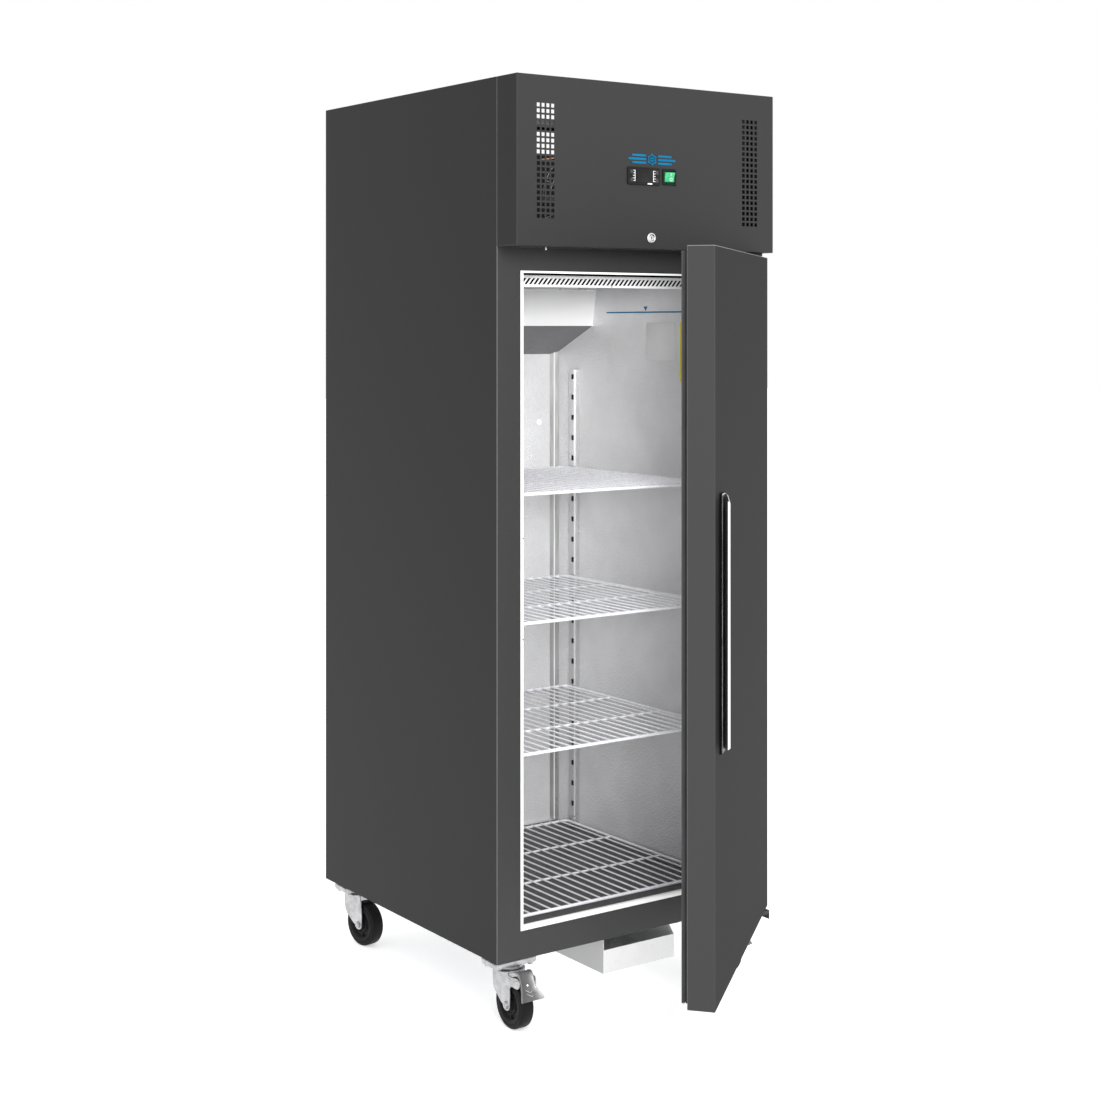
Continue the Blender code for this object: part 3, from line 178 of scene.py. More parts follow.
def add_blocks(builder, solids, voids=(), lines=((), (), ())):
    """One skin round the axis-aligned blocks (x0, x1, y0, y1, z0, z1) less the voids."""
    axes = []
    for a in range(3):
        values = {round(v, 6) for b in (*solids, *voids) for v in b[2 * a:2 * a + 2]}
        low, high = min(values), max(values)
        values |= {round(v, 6) for v in lines[a] if low < v < high}
        axes.append(sorted(values))
    filled = np.zeros([len(a) + 1 for a in axes], bool)
    for group, value in ((solids, True), (voids, False)):
        for b in group:
            span = [slice(axes[a].index(round(b[2 * a], 6)) + 1, axes[a].index(round(b[2 * a + 1], 6)) + 1)
                    for a in range(3)]
            filled[tuple(span)] = value
    made = {}

    def vertex(key):
        if key not in made:
            made[key] = builder.verts.new([axes[n][key[n]] for n in range(3)])
        return made[key]

    for a in range(3):
        b, c = (a + 1) % 3, (a + 2) % 3
        near = np.moveaxis(filled, a, 0)[:-1]
        far = np.moveaxis(filled, a, 0)[1:]
        for place in np.argwhere(near != far):
            rest = [int(v) for v in place[1:]]
            order = [n for n in range(3) if n != a]
            cell = {order[0]: rest[0], order[1]: rest[1], a: int(place[0])}
            ring = []
            for db, dc in ((-1, -1), (0, -1), (0, 0), (-1, 0)):
                key = dict(cell)
                key[b] += db
                key[c] += dc
                ring.append(vertex((key[0], key[1], key[2])))
            if not near[tuple(place)]:
                ring.reverse()
            builder.faces.new(ring)


def soften(builder, low, high, radius):
    """Round the outer edges of a box-shaped shell.  None in low or high leaves that side square."""
    for vert in builder.verts:
        held = []
        for n in range(3):
            value = vert.co[n]
            if low[n] is not None:
                value = max(value, low[n] + radius)
            if high[n] is not None:
                value = min(value, high[n] - radius)
            held.append(value)
        away = vert.co - Vector(held)
        if away.length > radius:
            vert.co = Vector(held) + away.normalized() * radius


def add_prism(builder, outline, axis, low, high, shear=None, index=0):
    """Extrude a flat outline along an axis; shear(point) may move the two ends."""
    def place(point, end):
        along = (low, high)[end]
        if shear is not None:
            along += shear(point)[end]
        if axis == "X":
            return (along, point[0], point[1])
        if axis == "Y":
            return (point[0], along, point[1])
        return (point[0], point[1], along)

    rings = [[builder.verts.new(place(p, end)) for p in outline] for end in (0, 1)]
    faces = [builder.faces.new(rings[0]), builder.faces.new(list(reversed(rings[1])))]
    for n in range(len(outline)):
        m = (n + 1) % len(outline)
        faces.append(builder.faces.new([rings[0][m], rings[0][n], rings[1][n], rings[1][m]]))
    for face in faces:
        face.material_index = index
    return faces


def add_loft(builder, loops, index=0, cap=True):
    """Join loops of equal length one after another, with flat ends."""
    rings = [[builder.verts.new(p) for p in loop] for loop in loops]
    faces = []
    for near, far in zip(rings, rings[1:]):
        for n in range(len(near)):
            m = (n + 1) % len(near)
            faces.append(builder.faces.new([near[n], near[m], far[m], far[n]]))
    if cap:
        faces += [builder.faces.new(rings[0]), builder.faces.new(rings[-1])]
    for face in faces:
        face.material_index = index


def add_lathe(builder, profile, centre, axis, segments=32, index=0):
    """Turn (radius, along) points about an axis; the profile closes itself."""
    rings = []
    for radius, along in profile:
        ring = []
        for n in range(segments if radius > 1e-9 else 1):
            turn = 2.0 * math.pi * n / segments
            a, b = radius * math.cos(turn), radius * math.sin(turn)
            offset = {"X": (along, a, b), "Y": (a, along, b), "Z": (a, b, along)}[axis]
            ring.append(builder.verts.new(Vector(centre) + Vector(offset)))
        rings.append(ring)
    pairs = list(zip(rings, rings[1:]))
    if len(rings[0]) > 1 and len(rings[-1]) > 1:
        pairs.append((rings[-1], rings[0]))
    for near, far in pairs:
        for n in range(segments):
            m = (n + 1) % segments
            corners = []
            for vert in (near[n % len(near)], near[m % len(near)], far[m % len(far)], far[n % len(far)]):
                if vert not in corners:
                    corners.append(vert)
            if len(corners) > 2:
                builder.faces.new(corners).material_index = index


def add_disc(builder, radius, low, high, centre, axis, segments, index=0):
    add_lathe(builder, [(0.0, low), (radius, low), (radius, high), (0.0, high)], centre, axis, segments,
              index)


def add_frame(builder, profile, left, right, bottom, top, index=0, shares=(1.0, 1.0, 1.0)):
    """Carry a closed profile of (inward, y) points round a rectangle with mitred corners.

    The shares scale the inward reach at the two sides, the bottom and the top.
    """
    at_sides, at_bottom, at_top = shares
    rings = []
    for x, z, sx, sz in ((left, bottom, 1, 1), (right, bottom, -1, 1), (right, top, -1, -1),
                         (left, top, 1, -1)):
        share = at_bottom if sz > 0 else at_top
        rings.append([builder.verts.new((x + sx * at_sides * p[0], p[1], z + sz * share * p[0]))
                      for p in profile])
    for c in range(4):
        near, far = rings[c], rings[(c + 1) % 4]
        for n in range(len(profile)):
            m = (n + 1) % len(profile)
            builder.faces.new([near[n], near[m], far[m], far[n]]).material_index = index


def bent_path(points, radius, steps=5):
    """A line of points with each corner swept round."""
    points = [Vector(p) for p in points]
    path = [points[0]]
    for before, corner, after in zip(points, points[1:], points[2:]):
        reach = min(radius, (before - corner).length * 0.49, (after - corner).length * 0.49)
        start = corner + (before - corner).normalized() * reach
        end = corner + (after - corner).normalized() * reach
        for n in range(steps + 1):
            t = n / steps
            path.append(start * (1 - t) ** 2 + corner * 2 * t * (1 - t) + end * t ** 2)
    path.append(points[-1])
    return path


def add_tube(builder, path, radius, sides=10, index=0):
    """A round bar along a path, closed at its ends."""
    path = [Vector(p) for p in path]
    tangents = []
    for n in range(len(path)):
        tangents.append((path[min(n + 1, len(path) - 1)] - path[max(n - 1, 0)]).normalized())
    side = tangents[0].orthogonal().normalized()
    loops = []
    for point, tangent in zip(path, tangents):
        side = (side - tangent * side.dot(tangent)).normalized()
        other = tangent.cross(side)
        loops.append([point + (side * math.cos(2 * math.pi * k / sides)
                               + other * math.sin(2 * math.pi * k / sides)) * radius for k in range(sides)])
    add_loft(builder, loops, index)


def rounded(left, right, bottom, top, radius, steps=4):
    """The outline of a rectangle with round corners."""
    points = []
    for cx, cz, start in ((right - radius, bottom + radius, -90), (right - radius, top - radius, 0),
                          (left + radius, top - radius, 90), (left + radius, bottom + radius, 180)):
        for n in range(steps + 1):
            turn = math.radians(start + 90.0 * n / steps)
            points.append((cx + radius * math.cos(turn), cz + radius * math.sin(turn)))
    return points


def add_pad(builder, left, right, bottom, top, y_back, y_front, radius, edge, index=0):
    """A plate facing the front with round corners and a softened front edge."""
    def loop(inset, y):
        outline = rounded(left + inset, right - inset, bottom + inset, top - inset,
                          max(radius - inset, 0.0002))
        return [(x, y, z) for x, z in outline]

    way = 1 if y_back > y_front else -1
    loops = [loop(0.0, y_back), loop(0.0, y_front + way * edge), loop(0.3 * edge, y_front + way * 0.3 * edge),
             loop(edge, y_front)]
    add_loft(builder, loops, index)


def add_screw(builder, centre, axis, radius, way=-1, index=0):
    """A low domed screw head with a socket, facing along an axis in the given way."""
    profile = [(0.0, 0.05), (0.38, 0.05), (0.42, 0.52), (0.62, 0.50), (0.86, 0.36), (1.0, 0.12),
               (1.0, 0.0), (0.0, 0.0)]
    add_lathe(builder, [(r * radius, way * h * radius) for r, h in profile], centre, axis, 14, index)


# ---- materials -----------------------------------------------------------------------------
def surface(name, dark, light, rough, metallic=0.0, specular=0.5, coat=0.0, tone=5.0, stretch=(1.0, 1.0, 1.0),
            grain=900.0, bump=0.15, depth=0.0002, cells=False, pebbles=False, glow=None, wear=160.0,
            tint=(1.0, 1.0, 1.0)):
    """A finish with a slow drift of colour, a finer drift of roughness and a fine relief.

    The dark and light ends of the drift are colours, or plain greys that the tint leans to one side.
    """
    ends = [tone_end if isinstance(tone_end, tuple) else tuple(tone_end * share for share in tint)
            for tone_end in (dark, light)]
    material = bpy.data.materials.new(name)
    material.use_nodes = True
    tree = material.node_tree
    nodes, links = tree.nodes, tree.links
    shader = nodes["Principled BSDF"]
    shader.inputs["Metallic"].default_value = metallic
    shader.inputs["Specular IOR Level"].default_value = specular
    shader.inputs["Coat Weight"].default_value = coat
    if coat:
        shader.inputs["Coat Roughness"].default_value = 0.15
    where = nodes.new("ShaderNodeTexCoord")
    scale = nodes.new("ShaderNodeMapping")
    scale.inputs["Scale"].default_value = stretch
    links.new(where.outputs["Object"], scale.inputs["Vector"])
    if cells:
        pattern = nodes.new("ShaderNodeTexVoronoi")
        pattern.inputs["Scale"].default_value = tone
        value = nodes.new("ShaderNodeSeparateColor")
        links.new(pattern.outputs["Color"], value.inputs["Color"])
        drift = value.outputs[0]
    else:
        pattern = nodes.new("ShaderNodeTexNoise")
        pattern.inputs["Scale"].default_value = tone
        pattern.inputs["Detail"].default_value = 4.0
        drift = pattern.outputs["Fac"]
    links.new(scale.outputs["Vector"], pattern.inputs["Vector"])
    ramp = nodes.new("ShaderNodeValToRGB")
    ramp.color_ramp.elements[0].position = 0.0 if cells else 0.32
    ramp.color_ramp.elements[1].position = 1.0 if cells else 0.68
    ramp.color_ramp.elements[0].color = (*ends[0], 1.0)
    ramp.color_ramp.elements[1].color = (*ends[1], 1.0)
    links.new(drift, ramp.inputs["Fac"])
    links.new(ramp.outputs["Color"], shader.inputs["Base Color"])
    worn = nodes.new("ShaderNodeTexNoise")
    worn.inputs["Scale"].default_value = wear
    worn.inputs["Detail"].default_value = 3.0
    links.new(scale.outputs["Vector"], worn.inputs["Vector"])
    spread = nodes.new("ShaderNodeMapRange")
    spread.inputs["From Min"].default_value = 0.3
    spread.inputs["From Max"].default_value = 0.7
    spread.inputs["To Min"].default_value = rough[0]
    spread.inputs["To Max"].default_value = rough[1]
    links.new(worn.outputs["Fac"], spread.inputs["Value"])
    links.new(spread.outputs["Result"], shader.inputs["Roughness"])
    if pebbles:
        relief = nodes.new("ShaderNodeTexVoronoi")
        relief.feature = "SMOOTH_F1"
        relief.inputs["Smoothness"].default_value = 0.6
        height = relief.outputs["Distance"]
    else:
        relief = nodes.new("ShaderNodeTexNoise")
        relief.inputs["Detail"].default_value = 2.0
        height = relief.outputs["Fac"]
    relief.inputs["Scale"].default_value = grain
    links.new(scale.outputs["Vector"], relief.inputs["Vector"])
    raised = nodes.new("ShaderNodeBump")
    raised.inputs["Strength"].default_value = bump
    raised.inputs["Distance"].default_value = depth
    links.new(height, raised.inputs["Height"])
    links.new(raised.outputs["Normal"], shader.inputs["Normal"])
    if glow:
        shader.inputs["Emission Color"].default_value = (*glow[:3], 1.0)
        shader.inputs["Emission Strength"].default_value = glow[3]
    return material


def powder_coat(name, tone, rough=(0.50, 0.56), specular=0.35):
    return surface(name, tone, tone * 1.07, rough, specular=specular, tone=420.0, grain=1100.0, bump=0.18,
                   depth=0.00015, wear=600.0)


PAINT = powder_coat("charcoal_powder_coat", 0.0205)
# Darker copy of the charcoal coat: painted shade on the side panels and the header's left return.
PAINT_SHADED_SIDE = powder_coat("charcoal_powder_coat_side_painted_shade", 0.0085, specular=0.22)
# Lighter copy of the charcoal coat: painted light on the front frame and hinge brackets, which sit in shade
# under the header.
PAINT_LIT_FRAME = powder_coat("charcoal_powder_coat_frame_painted_light", 0.0325)
# Lighter copy of the charcoal coat: painted light on the door's edges and back.
PAINT_LIT_DOOR_EDGES = powder_coat("charcoal_powder_coat_door_painted_light", 0.0262)
# Darker copy of the charcoal coat with a weak reflection: painted shade on the door's front face.
PAINT_SHADED_DOOR_FACE = powder_coat("charcoal_door_face_painted_shade", 0.0165, (0.62, 0.68), 0.05)
# Much lighter, glossier copy of the charcoal coat: a painted highlight along bent edges.
PAINT_BEND_HIGHLIGHT = powder_coat("charcoal_bend_painted_highlight", 0.17, (0.30, 0.36), 0.6)
GALVANISED = surface("galvanised_spangle", 0.42, 0.60, (0.34, 0.52), tint=(0.98, 1.0, 1.02),
                     metallic=0.9, tone=55.0, cells=True, grain=300.0, bump=0.08)
STUCCO = surface("stucco_aluminium", 0.66, 0.74, (0.38, 0.50), tint=(1.0, 1.0, 1.01),
                 metallic=0.25, specular=0.5, tone=9.0, grain=230.0, bump=0.85, depth=0.0012, pebbles=True)
SHEET_STEEL = surface("evaporator_sheet", 0.84, 0.90, (0.36, 0.46), metallic=0.12, tone=7.0,
                      stretch=(0.15, 1.0, 1.0), grain=160.0, bump=0.05)
SHEET_SHADED = surface("evaporator_underside_painted_shade", 0.17, 0.21, (0.42, 0.52), tint=(1.0, 0.98, 1.01),
                       metallic=0.2, tone=7.0, grain=160.0, bump=0.05)
GRILLE_BARS = surface("grille_bars", 0.82, 0.90, (0.30, 0.40), metallic=0.2, tone=14.0, grain=420.0,
                      bump=0.06)
RAIL_STEEL = surface("rail_steel", 0.46, 0.56, (0.26, 0.38), metallic=0.75, tone=14.0,
                     stretch=(1.0, 1.0, 0.1), grain=420.0, bump=0.06)
# Dark sheet on the compartment floor: painted shade below the bottom shelf.
FLOOR_SHADE_SHEET = surface("compartment_floor_painted_shade", 0.055, 0.075, (0.36, 0.48), metallic=0.2, tone=14.0,
                      grain=420.0, bump=0.06)
BRIGHT_STEEL = surface("bright_steel", 0.72, 0.84, (0.12, 0.24), metallic=1.0, tone=14.0,
                       stretch=(1.0, 1.0, 0.1), grain=420.0, bump=0.06)
DOOR_LINER = surface("door_liner_grey", 0.60, 0.66, (0.35, 0.46), tint=(1.0, 1.0, 1.02),
                     tone=4.0, grain=500.0, bump=0.12)
WHITE_TRIM = surface("white_trim_plastic", 0.80, 0.86, (0.30, 0.40), tint=(1.0, 1.0, 0.985),
                     tone=12.0, grain=700.0, bump=0.05)
WIRE_COAT = surface("white_wire_coating", 0.80, 0.88, (0.24, 0.34), tint=(0.98, 0.98, 1.02),
                    tone=30.0, coat=0.25, grain=500.0, bump=0.12)
BLACK_PLASTIC = surface("black_plastic", 0.006, 0.010, (0.34, 0.46), specular=0.2, tone=30.0, grain=2200.0,
                        bump=0.2)
GLOSS_BLACK = surface("gloss_black_lens", 0.008, 0.014, (0.30, 0.36), tone=40.0, specular=0.2, grain=900.0,
                      bump=0.02)
KEY_RUBBER = surface("key_rubber", 0.030, 0.040, (0.45, 0.6), tone=60.0, grain=2500.0, bump=0.2)
INK_WHITE = surface("white_ink", 0.78, 0.86, (0.4, 0.5), tone=90.0, grain=2500.0, bump=0.05)
INK_BLUE = surface("blue_ink", (0.001, 0.125, 0.25), (0.002, 0.155, 0.31), (0.42, 0.52), specular=0.12,
                   tone=60.0, grain=1500.0, bump=0.05)
GREEN_LENS = surface("green_lit_lens", (0.01, 0.26, 0.10), (0.03, 0.42, 0.17), (0.18, 0.28), tone=320.0,
                     coat=0.4, grain=900.0, bump=0.1, glow=(0.03, 0.50, 0.19, 0.35))
PALE_GREEN = surface("pale_green_mark", (0.36, 0.74, 0.50), (0.44, 0.80, 0.58), (0.4, 0.5), tone=90.0,
                     grain=1500.0)
CHROME = surface("polished_chrome", 0.80, 0.90, (0.05, 0.12), metallic=1.0, tone=60.0, grain=900.0,
                 bump=0.03)
GASKET = surface("gasket_rubber", 0.022, 0.032, (0.50, 0.64), tone=20.0, grain=1500.0, bump=0.15)
ZINC = surface("zinc_plate", 0.36, 0.52, (0.24, 0.40), tint=(1.0, 1.0, 1.015), metallic=0.92,
               tone=60.0, grain=600.0, bump=0.12)
TYRE = surface("castor_rubber", 0.005, 0.009, (0.42, 0.60), specular=0.14, tone=40.0, grain=1500.0, bump=0.3)
PEDAL_STEEL = surface("pedal_steel", 0.20, 0.27, (0.34, 0.48), metallic=0.8, tone=60.0, grain=600.0,
                      bump=0.12)
MATT_BLACK = surface("matt_black", 0.002, 0.003, (0.80, 0.90), specular=0.08, tone=30.0, grain=900.0,
                     bump=0.1)
HANDLE_DARK = surface("handle_dark_satin", 0.030, 0.038, (0.34, 0.44), specular=0.4, tone=6.0,
                      stretch=(1.0, 1.0, 0.1), grain=900.0, bump=0.06)
TRAY_WHITE = surface("tray_white_enamel", 0.78, 0.84, (0.25, 0.36), tone=8.0, coat=0.2, grain=500.0,
                     bump=0.06)
# Darker copy of the tray enamel: painted shade on the tray's left side.
TRAY_SHADED_SIDE = surface("tray_enamel_side_painted_shade", 0.44, 0.48, (0.30, 0.40), tone=8.0, grain=500.0, bump=0.06)
COMPRESSOR_BLACK = surface("compressor_enamel", 0.008, 0.014, (0.26, 0.44), tone=25.0, coat=0.2,
                           grain=600.0, bump=0.18)
FINS = surface("aluminium_fins", 0.55, 0.70, (0.32, 0.48), metallic=0.9, tone=40.0, grain=700.0, bump=0.2)
FAN_METAL = surface("fan_metal", 0.40, 0.52, (0.34, 0.50), metallic=0.85, tone=30.0, grain=700.0, bump=0.1)
COPPER = surface("copper_tube", (0.50, 0.21, 0.11), (0.72, 0.36, 0.20), (0.22, 0.42), metallic=1.0, tone=55.0,
                 grain=600.0, bump=0.08)
FOAM = surface("polyurethane_foam", (0.62, 0.50, 0.28), (0.74, 0.62, 0.38), (0.8, 0.95), tone=60.0,
               grain=500.0, bump=0.5, depth=0.0006)
INSULATION = surface("pipe_insulation", 0.014, 0.026, (0.75, 0.9), tone=90.0, grain=900.0, bump=0.5)
LABEL_GREY = surface("blank_plate", 0.60, 0.66, (0.35, 0.45), tone=14.0, grain=900.0, bump=0.04)
LABEL_YELLOW = surface("yellow_film", (0.70, 0.58, 0.02), (0.80, 0.68, 0.03), (0.35, 0.45), tone=14.0,
                       grain=900.0, bump=0.04)


def paint_node(material, *names):
    for name in names:
        mesh = NODES[name].data
        mesh.materials.clear()
        mesh.materials.append(material)


# ---- outer case ----------------------------------------------------------------------------
def case():
    radius = 0.0011
    lip = 0.015
    for name, node, outer, sign in (("case_side_left", "left_side_panel", 0.0, 1),
                                    ("case_side_right", "right_side_panel", CASE_WIDTH, -1)):
        skin = sorted((outer, outer + sign * SHEET))
        flange = sorted((outer, outer + sign * lip))
        builder = bmesh.new()
        lines = (bend_lines(0.0, CASE_WIDTH, radius), bend_lines(0.0, CASE_DEPTH, radius),
                 bend_lines(0.0, CASE_HEIGHT, radius))
        add_blocks(builder, [
            (skin[0], skin[1], 0.0, CASE_DEPTH, 0.0, CASE_HEIGHT),
            (flange[0], flange[1], 0.0, CASE_DEPTH, CASE_HEIGHT - SHEET, CASE_HEIGHT),
            (flange[0], flange[1], 0.0, SHEET, HEADER_BOTTOM + GAP, CASE_HEIGHT)], lines=lines)
        low = (0.0 if sign > 0 else None, 0.0, None)
        high = (CASE_WIDTH if sign < 0 else None, CASE_DEPTH, CASE_HEIGHT)
        soften(builder, low, high, radius)
        # The side skins take the darker coat as painted shade; faces on the front bend take a lighter coat as
        # a painted highlight.
        piece(name, builder, [PAINT_SHADED_SIDE, PAINT_BEND_HIGHLIGHT], "cabinet", [node], flat_faces=True,
              highlight_bends=lambda spot: spot.y < 0.01)
    # Front frame and hinge brackets take the lighter copy of the coat as painted light.
    paint_node(PAINT_LIT_FRAME, "front_frame", "hinge_bracket_top", "hinge_bracket_bottom")
    low, high = (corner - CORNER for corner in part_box("back_panel"))
    builder = bmesh.new()
    voids = [(x0, x1, high.y - SHEET, high.y, z0, z1) for x0, x1, z0, z1 in (REAR_WINDOW, CORD_INLET)]
    add_blocks(builder, [(low.x, high.x, high.y - SHEET, high.y, low.z, high.z)], voids)
    add_blocks(builder, [(low.x, high.x, 0.582, high.y - SHEET - GAP, CASE_HEIGHT - 0.0024,
                          CASE_HEIGHT - SHEET - GAP)])
    piece("back_sheet", builder, PAINT, "cabinet", ["back_panel"])
    paint_node(GALVANISED, "bottom_panel", "compartment_deck")
    paint_node(FOAM, "foam_insulation", "door_foam")
    paint_node(STUCCO, "inner_liner")
    for name in ("inner_liner", "evaporator_coil", "air_grille"):
        LIT_INSIDE.objects.link(NODES[name])
    paint_node(FINS, "evaporator_coil", "evaporator_fan_blade")
    paint_node(BLACK_PLASTIC, "cable_gland")
    paint_node(GRILLE_BARS, "air_grille")
    paint_node(BRIGHT_STEEL, "door_switch_plunger")


def header():
    radius = 0.0016
    hole, pitch, columns, rows, top_row = 0.0078, 0.01176, 4, 20, 1.7357
    solids = [
        (0.0, CASE_WIDTH, HEADER_FRONT, HEADER_FRONT + SHEET, HEADER_BOTTOM, CASE_HEIGHT),
        (0.0, SHEET, HEADER_FRONT, -GAP, HEADER_BOTTOM, CASE_HEIGHT),
        (CASE_WIDTH - SHEET, CASE_WIDTH, HEADER_FRONT, -GAP, HEADER_BOTTOM, CASE_HEIGHT),
        (0.0, CASE_WIDTH, HEADER_FRONT, -GAP, HEADER_BOTTOM, HEADER_BOTTOM + SHEET),
        (0.0, CASE_WIDTH, HEADER_FRONT, HEADER_FRONT + 0.014, CASE_HEIGHT - SHEET, CASE_HEIGHT),
    ]
    voids = []
    for start in (0.0527, 0.5942):
        for column in range(columns):
            for row in range(rows):
                x, z = start + column * pitch, top_row - row * pitch
                voids.append((x - hole / 2, x + hole / 2, HEADER_FRONT, HEADER_FRONT + SHEET, z - hole / 2,
                              z + hole / 2))
    for (x, z), half_x, half_z in ((CONTROLLER, 0.0375, 0.0155), (SWITCH, 0.0150, 0.0145),
                                   (LOCK, 0.0095, 0.0095)):
        voids.append((x - half_x, x + half_x, HEADER_FRONT, HEADER_FRONT + SHEET, z - half_z, z + half_z))
    x, y = PLUNGER
    voids.append((x - 0.0055, x + 0.0055, y - 0.0055, y + 0.0055, HEADER_BOTTOM, HEADER_BOTTOM + SHEET))
    builder = bmesh.new()
    lines = (bend_lines(0.0, CASE_WIDTH, radius), bend_lines(HEADER_FRONT, 1.0, radius),
             bend_lines(HEADER_BOTTOM, CASE_HEIGHT, radius))
    add_blocks(builder, solids, voids, lines)
    soften(builder, (0.0, HEADER_FRONT, HEADER_BOTTOM), (CASE_WIDTH, None, CASE_HEIGHT), radius)
    # Faces on the left return take the darker copy of the coat: painted shade.
    for face in builder.faces:
        if face.calc_center_median().x < 0.0001:
            face.material_index = 1
    piece("header_shell", builder, [PAINT, PAINT_SHADED_SIDE], "cabinet", ["header_front_cover"],
          flat_faces=True)

    builder = bmesh.new()
    emblem(builder, 0.3415, 1.6400, 0.0125)
    piece("header_emblem", builder, INK_BLUE, "cabinet")


def emblem(builder, x, z, size):
    """A plain six-armed frost star between two pairs of bars."""
    front = HEADER_FRONT - 0.0002
    thick = 0.0007

    def bar(ax, az, bx, bz, width):
        along = Vector((bx - ax, bz - az)).normalized()
        across = Vector((-along.y, along.x)) * width / 2
        outline = [(ax - across.x, az - across.y), (bx - across.x, bz - across.y),
                   (bx + across.x, bz + across.y), (ax + across.x, az + across.y)]
        add_prism(builder, outline, "Y", front - thick, front)

    for n in range(6):
        turn = math.radians(60.0 * n + 30.0)
        dx, dz = math.cos(turn), math.sin(turn)
        bar(x + dx * 0.0010, z + dz * 0.0010, x + dx * size, z + dz * size, 0.0030)
        for lean in (-1, 1):
            branch = turn + lean * math.radians(55.0)
            start = size * 0.50
            bar(x + dx * start, z + dz * start, x + dx * start + math.cos(branch) * size * 0.40,
                z + dz * start + math.sin(branch) * size * 0.40, 0.0024)
    for sign in (-1, 1):
        for rise, reach in ((0.0076, 0.036), (0.0, 0.046), (-0.0076, 0.036)):
            bar(x + sign * 0.0160, z + rise, x + sign * (0.0160 + reach), z + rise, 0.0044)


